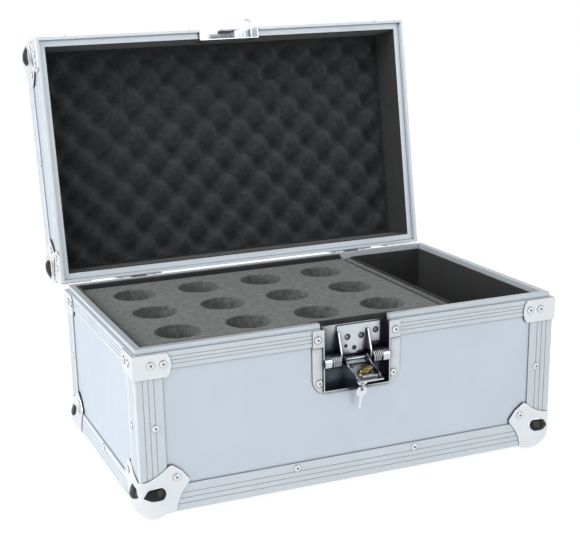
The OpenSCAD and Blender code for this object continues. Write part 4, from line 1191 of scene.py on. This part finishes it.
@dataclass
class PressedCorners:
    """Ball corners pressed from sheet, each with three petals, and their black lenses.

    A corner is worked out in its own frame, whose axes run along the three edges into the case.
    """

    dresser: Dresser
    pose: LidPose
    ball_radius: float = 24.4 * MM
    ball_centre: Triple = (17.5 * MM, 17.5 * MM, 15.2 * MM)
    edge_radius: float = 3.2 * MM
    cut: float = 34 * MM
    blend: float = 4.5 * MM
    swell: Pair = (38 * MM, 11.5 * MM)
    tail: Triple = (34.5 * MM, 50 * MM, 4 * MM)
    waist: Triple = (-4.2 * MM, 88.9 * MM, 50.6 * MM)
    heart: float = 38 * MM
    rows: int = 56
    lens_circles: tuple[Triple, ...] = (
        (3.3 * MM, 10.0 * MM, 6.3 * MM),
        (-6.5 * MM, 9.6 * MM, 5.9 * MM),
        (-14.6 * MM, 7.3 * MM, 0.5 * MM),
    )
    lens_points: int = 72
    lens_rise: float = 1.1 * MM
    lens_sink: float = 0.4 * MM
    reach: float = 90 * MM
    halvings: int = 26
    lens_halvings: int = 22
    sharp_deg: Pair = (60, 35)

    def _depth(self, points: Array) -> Array:
        """Signed distance from the pressed sheet's outer face, negative inside.

        A box corner with rounded edges is cut by a sphere, and the ball is joined to it with
        a smooth minimum: the lesser distance, less a quarter of the blend times the squared
        share by which the two distances are closer than the blend.

        Args:
            points: points as (..., 3).

        Returns:
            One distance for each point.
        """
        inside = self.edge_radius - (points + SIZES.sheet)
        box = (np.linalg.norm(np.maximum(inside, 0), axis=-1)
               + np.minimum(inside.max(-1), 0) - self.edge_radius)
        cut = np.linalg.norm(points - self.cut, axis=-1) - (self.cut * math.sqrt(2) + SIZES.sheet)
        near = np.clip(1 - np.abs(box - cut) / self.blend, 0, 1)
        box = np.maximum(box, cut) + near**2 * self.blend / 4
        ball = np.linalg.norm(points - np.array(self.ball_centre), axis=-1) - self.ball_radius
        near = np.clip(1 - np.abs(box - ball) / self.blend, 0, 1)
        return np.minimum(box, ball) - near**2 * self.blend / 4

    def _petal_line(self) -> Array:
        """The outline of the three petals as one loop. Half a face's outline is a hollow waist
        arc, a small arc round the tail's tip and an arc of the swell up to the diagonal. It is
        mirrored about that diagonal and carried from face to face by turning the axes round."""
        s = SIZES.sheet
        waist, tail = np.array(self.waist[:2]), np.array(self.tail[:2])
        swell = np.full(2, self.swell[0])
        start = -math.degrees(math.acos((-s - waist[0]) / self.waist[2]))
        toward = math.degrees(math.atan2(*(tail - waist)[::-1]))
        along = math.degrees(math.atan2(*(swell - tail)[::-1]))
        lean = math.degrees(math.acos((self.tail[2] - self.swell[1]) / math.dist(tail, swell)))
        half = np.concatenate([
            waist + self.waist[2] * arc(start, toward, 20),
            tail + self.tail[2] * arc(180 + toward, along + lean, 12),
            swell + self.swell[1] * arc(along + lean, 45, 5),
        ])
        face = np.concatenate([half[:, ::-1], half[-2:0:-1]])
        flat = np.column_stack([face, np.full(len(face), -s)])
        return np.concatenate([np.roll(flat, turn, 1) for turn in range(3)])

    def sheet_grid(self) -> Array:
        """The sheet's outer face: rays from a point inside the corner, spread from the tip to
        the petals' outline, each followed to the surface by halving the stretch it lies in.

        Returns:
            Points as (rows, round the corner, 3). The first row is the tip.
        """
        heart = np.full(3, self.heart)
        rim = self._petal_line() - heart
        rim /= np.linalg.norm(rim, axis=1, keepdims=True)
        tip = -np.ones(3) / math.sqrt(3)
        share = np.linspace(0, 1, self.rows)[1:, None, None]
        ray = tip * (1 - share) + rim[None] * share
        ray /= np.linalg.norm(ray, axis=-1, keepdims=True)
        near = np.zeros(ray.shape[:2])
        far = np.full(ray.shape[:2], self.reach)
        for _ in range(self.halvings):
            middle = (near + far) / 2
            outside = self._depth(heart + middle[..., None] * ray) > 0
            far = np.where(outside, middle, far)
            near = np.where(outside, near, middle)
        return heart + ((near + far) / 2)[..., None] * ray

    def _lens_line(self) -> Array:
        """The outline of the hull round the lens's circles, in steps of even length.

        In every direction the hull's outermost point is the farthest of the circles' own
        outermost points, each of which is a centre plus its radius in that direction.

        Returns:
            Points (x, z) from the ball's centre, as (lens_points, 2).
        """
        way = arc(0, 360, 720)[:-1]
        circles = np.array(self.lens_circles)
        farthest = (way @ circles[:, :2].T + circles[:, 2]).argmax(1)
        line = circles[farthest, :2] + circles[farthest, 2:] * way
        ring = np.concatenate([line, line[:1]])
        length = np.concatenate([[0], np.linalg.norm(np.diff(ring, axis=0), axis=1).cumsum()])
        even = np.linspace(0, length[-1], self.lens_points, endpoint=False)
        return np.stack([np.interp(even, length, ring[:, axis]) for axis in (0, 1)], -1)

    def lens_grid(self) -> Array:
        """A lens on the ball's front: its outline, scaled in to its middle.

        Each point is carried straight onto the pressed sheet by halving the stretch it lies
        in, and then out from the ball's centre by the dome's rise times one minus the
        fourth power of its share of the outline. The rim sinks into the sheet.

        Returns:
            Points as (rings, round the lens, 3), from the rim to near the middle.
        """
        outline = self._lens_line()
        middle = outline.mean(0)
        share = np.concatenate([[1.0, 0.985], np.linspace(0.95, 0.05, 14)])
        flat = middle + share[:, None, None] * (outline - middle)[None]
        centre = np.array(self.ball_centre)
        x, z = flat[..., 0] + centre[0], flat[..., 1] + centre[2]
        inner, outer = np.full(x.shape, 6 * MM), np.full(x.shape, -12 * MM)
        for _ in range(self.lens_halvings):
            y = (inner + outer) / 2
            outside = self._depth(np.stack([x, y, z], -1)) > 0
            outer, inner = np.where(outside, y, outer), np.where(outside, inner, y)
        on_sheet = np.stack([x, (inner + outer) / 2, z], -1)
        out = (on_sheet - centre) / np.linalg.norm(on_sheet - centre, axis=-1, keepdims=True)
        rise = self.lens_rise * (1 - share**4) - self.lens_sink * (share >= 1)
        return on_sheet + rise[:, None, None] * out

    def _place(self, points: Array, sign: tuple[int, int], lid: bool) -> Array:
        """Moves points from the corner's own frame to one of the eight corners. The lower
        balls are flat where they stand on the floor."""
        way = np.array([*sign, 1 if lid else -1])
        start = np.array([SIZES.width / 2, SIZES.depth / 2, SIZES.lid_top if lid else -SIZES.foot])
        placed = (start - points) * way
        if lid:
            return self.pose.open(placed)
        placed[..., 2] = np.maximum(placed[..., 2], 0)
        return placed

    def build(self) -> list[bpy.types.Object]:
        """Makes the eight pressed corners, four to a piece, and their sixteen lenses."""
        sheet = self.sheet_grid()
        lens = self.lens_grid()
        swapped = lens[..., [1, 0, 2]]
        pieces = []
        for lid, body in ((False, "base"), (True, "lid")):
            shell = Surface(f"{body}_pressed_corners")
            glass = Surface(f"{body}_corner_lenses")
            for sign in ((-1, -1), (1, -1), (1, 1), (-1, 1)):
                tip = self._place(self._tip(), sign, lid)
                first = shell.grid(self._place(sheet, sign, lid), close_columns=True)
                shell.fan(first, sheet.shape[1], tip)
                for grid in (lens, swapped):
                    placed = self._place(grid, sign, lid)
                    first = glass.grid(placed, close_columns=True)
                    glass.cap_ends(first, *grid.shape[:2])
            piece = shell.build(self.sharp_deg[0])
            self._turn_out(piece)
            wall = piece.modifiers.new("sheet", "SOLIDIFY")
            wall.thickness = SIZES.sheet
            wall.offset = -1
            lenses = glass.build(self.sharp_deg[1])
            pieces += [
                self.dresser.piece(piece, FinishName.NICKEL, body, f"{body}_ball_corners"),
                self.dresser.piece(lenses, FinishName.LENS, body, f"{body}_corner_inserts"),
            ]
        return pieces

    def _tip(self) -> Array:
        """The surface point on the corner's diagonal."""
        ray = -np.ones(3) / math.sqrt(3)
        reach = np.linspace(0, self.reach, 4000)
        depth = self._depth(self.heart + reach[:, None] * ray)
        return self.heart + reach[np.argmax(depth > 0)] * ray

    @staticmethod
    def _turn_out(piece: bpy.types.Object) -> None:
        """Turns each open sheet's faces away from the case, judged by their mean direction."""
        work = bmesh.new()
        work.from_mesh(piece.data)
        left = set(work.faces)
        middle = sum((f.calc_center_median() for f in work.faces), Vector()) / len(work.faces)
        while left:
            island, queue = set(), [next(iter(left))]
            while queue:
                face = queue.pop()
                if face in island:
                    continue
                island.add(face)
                queue += [f for edge in face.edges for f in edge.link_faces if f not in island]
            out = sum(f.normal.dot(f.calc_center_median() - middle) * f.calc_area() for f in island)
            if out < 0:
                bmesh.ops.reverse_faces(work, faces=list(island))
            left -= island
        work.to_mesh(piece.data)
        work.free()
        piece.data.shade_smooth()


# ---- fittings -------------------------------------------------------------------------


@dataclass
class LatchSprings:
    """The two coil springs on the latch pin."""

    dresser: Dresser
    wire: float = 0.9 * MM
    turns: float = 4.5
    sides: int = 10

    def build(self) -> bpy.types.Object:
        """Makes both springs: a helix whose reach along the pin is even over the turns."""
        low, high = (np.array(corner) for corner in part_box("latch_springs"))
        middle = (low + high) / 2
        radius = (high[2] - low[2]) / 2 - self.wire
        wound = self.dresser.nodes["latch_springs"].data.vertices
        places = np.zeros(3 * len(wound))
        wound.foreach_get("co", places)
        inner = np.abs(places[::3]).min()
        angle = np.linspace(0, 2 * np.pi * self.turns, int(self.turns * 40))
        share = angle / angle[-1]
        across = inner + self.wire + share * (high[0] - inner - 2 * self.wire)
        springs = Surface("latch_coils")
        for side in (-1, 1):
            spoke = np.stack([np.zeros_like(angle), np.cos(angle), np.sin(angle)], -1)
            path = spoke * radius + middle
            path[:, 0] = side * across
            rings = tube(path, self.wire, self.sides, spoke)
            first = springs.grid(rings, close_columns=True)
            springs.cap_ends(first, *rings.shape[:2])
        return self.dresser.piece(springs.build(), FinishName.WIRE, "base", "latch_springs")


@dataclass
class CarryGrip:
    """The moulded grip on the handle's rod."""

    dresser: Dresser
    ribs: int = 9
    rib_depth: float = 0.5 * MM
    ribbed: float = 0.8
    end_share: float = 0.04
    end_width: float = 0.62

    def build(self) -> bpy.types.Object:
        """Makes the grip: a body of revolution whose radius dips at each rib and at its ends."""
        low, high = (np.array(corner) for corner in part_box("handle_grip"))
        middle, radius = (low + high) / 2, (high[2] - low[2]) / 2
        share = np.linspace(0, 1, 181)
        dips = 0.5 + 0.5 * np.cos(2 * np.pi * self.ribs * share)
        ribs = self.rib_depth * dips * (np.abs(share - 0.5) < self.ribbed / 2)
        end = np.clip(np.minimum(share, 1 - share) / self.end_share, 0, 1)
        rounding = np.sqrt(1 - (1 - end) ** 2)
        width = radius * (self.end_width + (1 - self.end_width) * rounding) - ribs
        turn = arc(0, 360, 32)[:-1]
        x = (low[0] + share * (high[0] - low[0]))[:, None]
        y, z = (middle[axis] + width[:, None] * turn[None, :, axis - 1] for axis in (1, 2))
        grip = Surface("handle_grip_moulding")
        grid = np.stack(np.broadcast_arrays(x, y, z), -1)
        first = grip.grid(grid, close_columns=True)
        grip.cap_ends(first, len(share), len(turn))
        return self.dresser.piece(grip.build(), FinishName.GRIP, "handle", "handle_grip")


def dress_carried_nodes(dresser: Dresser) -> None:
    """Gives each carried CAD node the finish that its name or its slot asks for.

    Args:
        dresser: holds the finishes.
    """
    by_slot = {
        "panel_face": FinishName.PANEL,
        "plated_steel": FinishName.NICKEL,
        "spring_wire": FinishName.WIRE,
        "lock_brass": FinishName.BRASS,
        "insert_foam": FinishName.INSERT,
        "lid_foam": FinishName.CRATE,
        "lining": FinishName.FELT,
        "divider_board": FinishName.DIVIDER,
        "board": FinishName.PLYWOOD,
        "lens_black": FinishName.LENS,
        "grip_plastic": FinishName.GRIP,
    }
    by_name = {
        "latch_dish": FinishName.DISH,
        "latch_frame": FinishName.CHROME,
        "latch_lever": FinishName.CHROME,
        "latch_pin": FinishName.CHROME,
        "key_ring": FinishName.CHROME,
        "catch_plate": FinishName.CHROME,
    }
    ends = {"left": FinishName.DRAWN_Y, "right": FinishName.DRAWN_Y}
    for name, node in dresser.nodes.items():
        slot = FRAME_SLOTS[name]
        if name in by_name:
            dresser.node(name, by_name[name])
        elif slot != "extrusion":
            dresser.node(name, by_slot[slot])
        elif "upright" in name:
            dresser.node(name, FinishName.DRAWN_Z)
        else:
            dresser.node(name, ends.get(name.rsplit("_", 1)[-1], FinishName.DRAWN_X))


# ---- studio ---------------------------------------------------------------------------


@dataclass
class Studio:
    """Camera, lamps, world and floor."""

    azimuth: float = 19.85
    elevation: float = 16.373
    roll: float = 1.972
    place: Triple = (-0.53918, -1.22455, 0.54651)
    focal_px: float = 1162.36
    principal_px: Pair = (223.96, 321.23)
    image_px: tuple[int, int] = (580, 549)
    sensor: float = 36.0
    world_soft: float = 0.42
    hood: Pair = (0.42, 0.78)
    ceiling: float = 0.2
    floor_glow: float = 0.88
    floor_bounce: float = 0.9
    floor_shade: float = 0.3
    floor_reach: float = 12.0
    target: Triple = (0, 0, 0.2)
    lamps: tuple[tuple[str, Triple, float, float], ...] = (
        ("key", (-1.5, -0.9, 2.4), 1.4, 30),
        ("left_box", (-2.4, -0.2, 0.9), 1.6, 38),
        ("fill", (1.2, -2.4, 1.3), 1.8, 14),
    )

    def camera(self) -> None:
        """Makes the camera at the photograph's viewing angle, shifted to its framing."""
        data = bpy.data.cameras.new("photo_view")
        camera = bpy.data.objects.new("photo_view", data)
        bpy.context.scene.collection.objects.link(camera)
        turn = (
            Matrix.Rotation(-math.radians(self.azimuth), 4, "Z")
            @ Matrix.Rotation(math.radians(90 - self.elevation), 4, "X")
            @ Matrix.Rotation(-math.radians(self.roll), 4, "Z")
        )
        camera.matrix_world = Matrix.Translation(self.place) @ turn
        width, height = self.image_px
        data.sensor_width = self.sensor
        data.lens = self.focal_px * self.sensor / width
        data.shift_x = (width / 2 - self.principal_px[0]) / width
        data.shift_y = (self.principal_px[1] - height / 2) / width
        data.clip_start, data.clip_end = 0.01, 50
        bpy.context.scene.camera = camera

    @staticmethod
    def _shown(bench: NodeBench) -> bpy.types.NodeSocket:
        """1 for camera, glossy and transmission rays, 0 for the rays that only bring light."""
        rays = bench.add("ShaderNodeLightPath").outputs
        seen = bench.math("MAXIMUM", rays["Is Camera Ray"], rays["Is Glossy Ray"])
        return bench.math("MAXIMUM", seen, rays["Is Transmission Ray"])

    def world(self) -> None:
        """White for the camera. Glossy rays see it white up to the hood's height and dim
        above it, as under a studio's dark ceiling, and as a light it is soft."""
        world = bpy.data.worlds.new("studio")
        bpy.context.scene.world = world
        world.use_nodes = True
        bench = NodeBench(world.node_tree)
        place = bench.add("ShaderNodeTexCoord")
        height = bench.add("ShaderNodeSeparateXYZ", {"Vector": place.outputs["Generated"]})
        hood = bench.ramp(
            height.outputs["Z"], *self.hood, 1.0, self.ceiling, interpolation_type="SMOOTHSTEP"
        )
        rays = bench.add("ShaderNodeLightPath")
        mirrored = bench.ramp(rays.outputs["Is Camera Ray"], 0.0, 1.0, hood)
        strength = bench.ramp(self._shown(bench), 0.0, 1.0, self.world_soft, mirrored)
        sky = bench.add("ShaderNodeBackground", {"Color": (1, 1, 1, 1), "Strength": strength})
        bench.add("ShaderNodeOutputWorld", {"Surface": sky.outputs["Background"]})

    def lamp(self, name: str, place: Triple, size: float, power: float) -> None:
        """One square soft box that faces the case."""
        data = bpy.data.lights.new(name, "AREA")
        data.size, data.energy = size, power
        lamp = bpy.data.objects.new(name, data)
        lamp.location = place
        way = Vector(self.target) - Vector(place)
        lamp.rotation_euler = way.to_track_quat("-Z", "Y").to_euler()
        bpy.context.scene.collection.objects.link(lamp)

    def floor(self) -> None:
        """A plain pale floor, white where it is seen in the open, that keeps the case's shadow."""
        reach = self.floor_reach
        corners = [(-reach, -reach, 0), (reach, -reach, 0), (reach, reach, 0), (-reach, reach, 0)]
        mesh = bpy.data.meshes.new("floor")
        mesh.from_pydata(corners, [], [(0, 1, 2, 3)])
        floor = bpy.data.objects.new("floor", mesh)
        bpy.context.scene.collection.objects.link(floor)
        material = bpy.data.materials.new("pale_floor")
        material.use_nodes = True
        bench = NodeBench(material.node_tree)
        bounce, shade = (
            bench.add("ShaderNodeBsdfDiffuse", {"Color": (tone, tone, tone, 1)}).outputs["BSDF"]
            for tone in (self.floor_bounce, self.floor_shade)
        )
        glow = bench.add("ShaderNodeEmission", {"Color": (1, 1, 1, 1), "Strength": self.floor_glow})
        seen = bench.add("ShaderNodeAddShader", {0: shade, 1: glow.outputs["Emission"]})
        shader = bench.add(
            "ShaderNodeMixShader", {0: self._shown(bench), 1: bounce, 2: seen.outputs["Shader"]}
        )
        bench.add("ShaderNodeOutputMaterial", {"Surface": shader.outputs["Shader"]})
        mesh.materials.append(material)

    def build(self) -> None:
        """Sets up the whole studio."""
        bpy.context.scene.view_settings.view_transform = "Standard"
        self.world()
        self.floor()
        for row in self.lamps:
            self.lamp(*row)


def main() -> None:
    """Builds the studio and every piece in order."""
    logging.basicConfig(level=logging.INFO, format="%(name)s: %(message)s")
    studio = Studio()
    studio.camera()
    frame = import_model()
    parts = frame["record"]["subparts"]
    FRAME_SLOTS.update({part["node"]: part["material_slot"] for part in parts})
    studio.build()
    pose = LidPose(frame["joints"])
    dresser = Dresser(frame["nodes"])
    dress_carried_nodes(dresser)
    EggCrate(dresser, pose).build()
    WellFoam(dresser).build()
    felt = FeltWork(dresser, pose)
    felt.bay()
    felt.compartment()
    felt.divider()
    felt.lid()
    PressedCorners(dresser, pose).build()
    LatchSprings(dresser).build()
    CarryGrip(dresser).build()


if __name__ == "__main__":
    main()
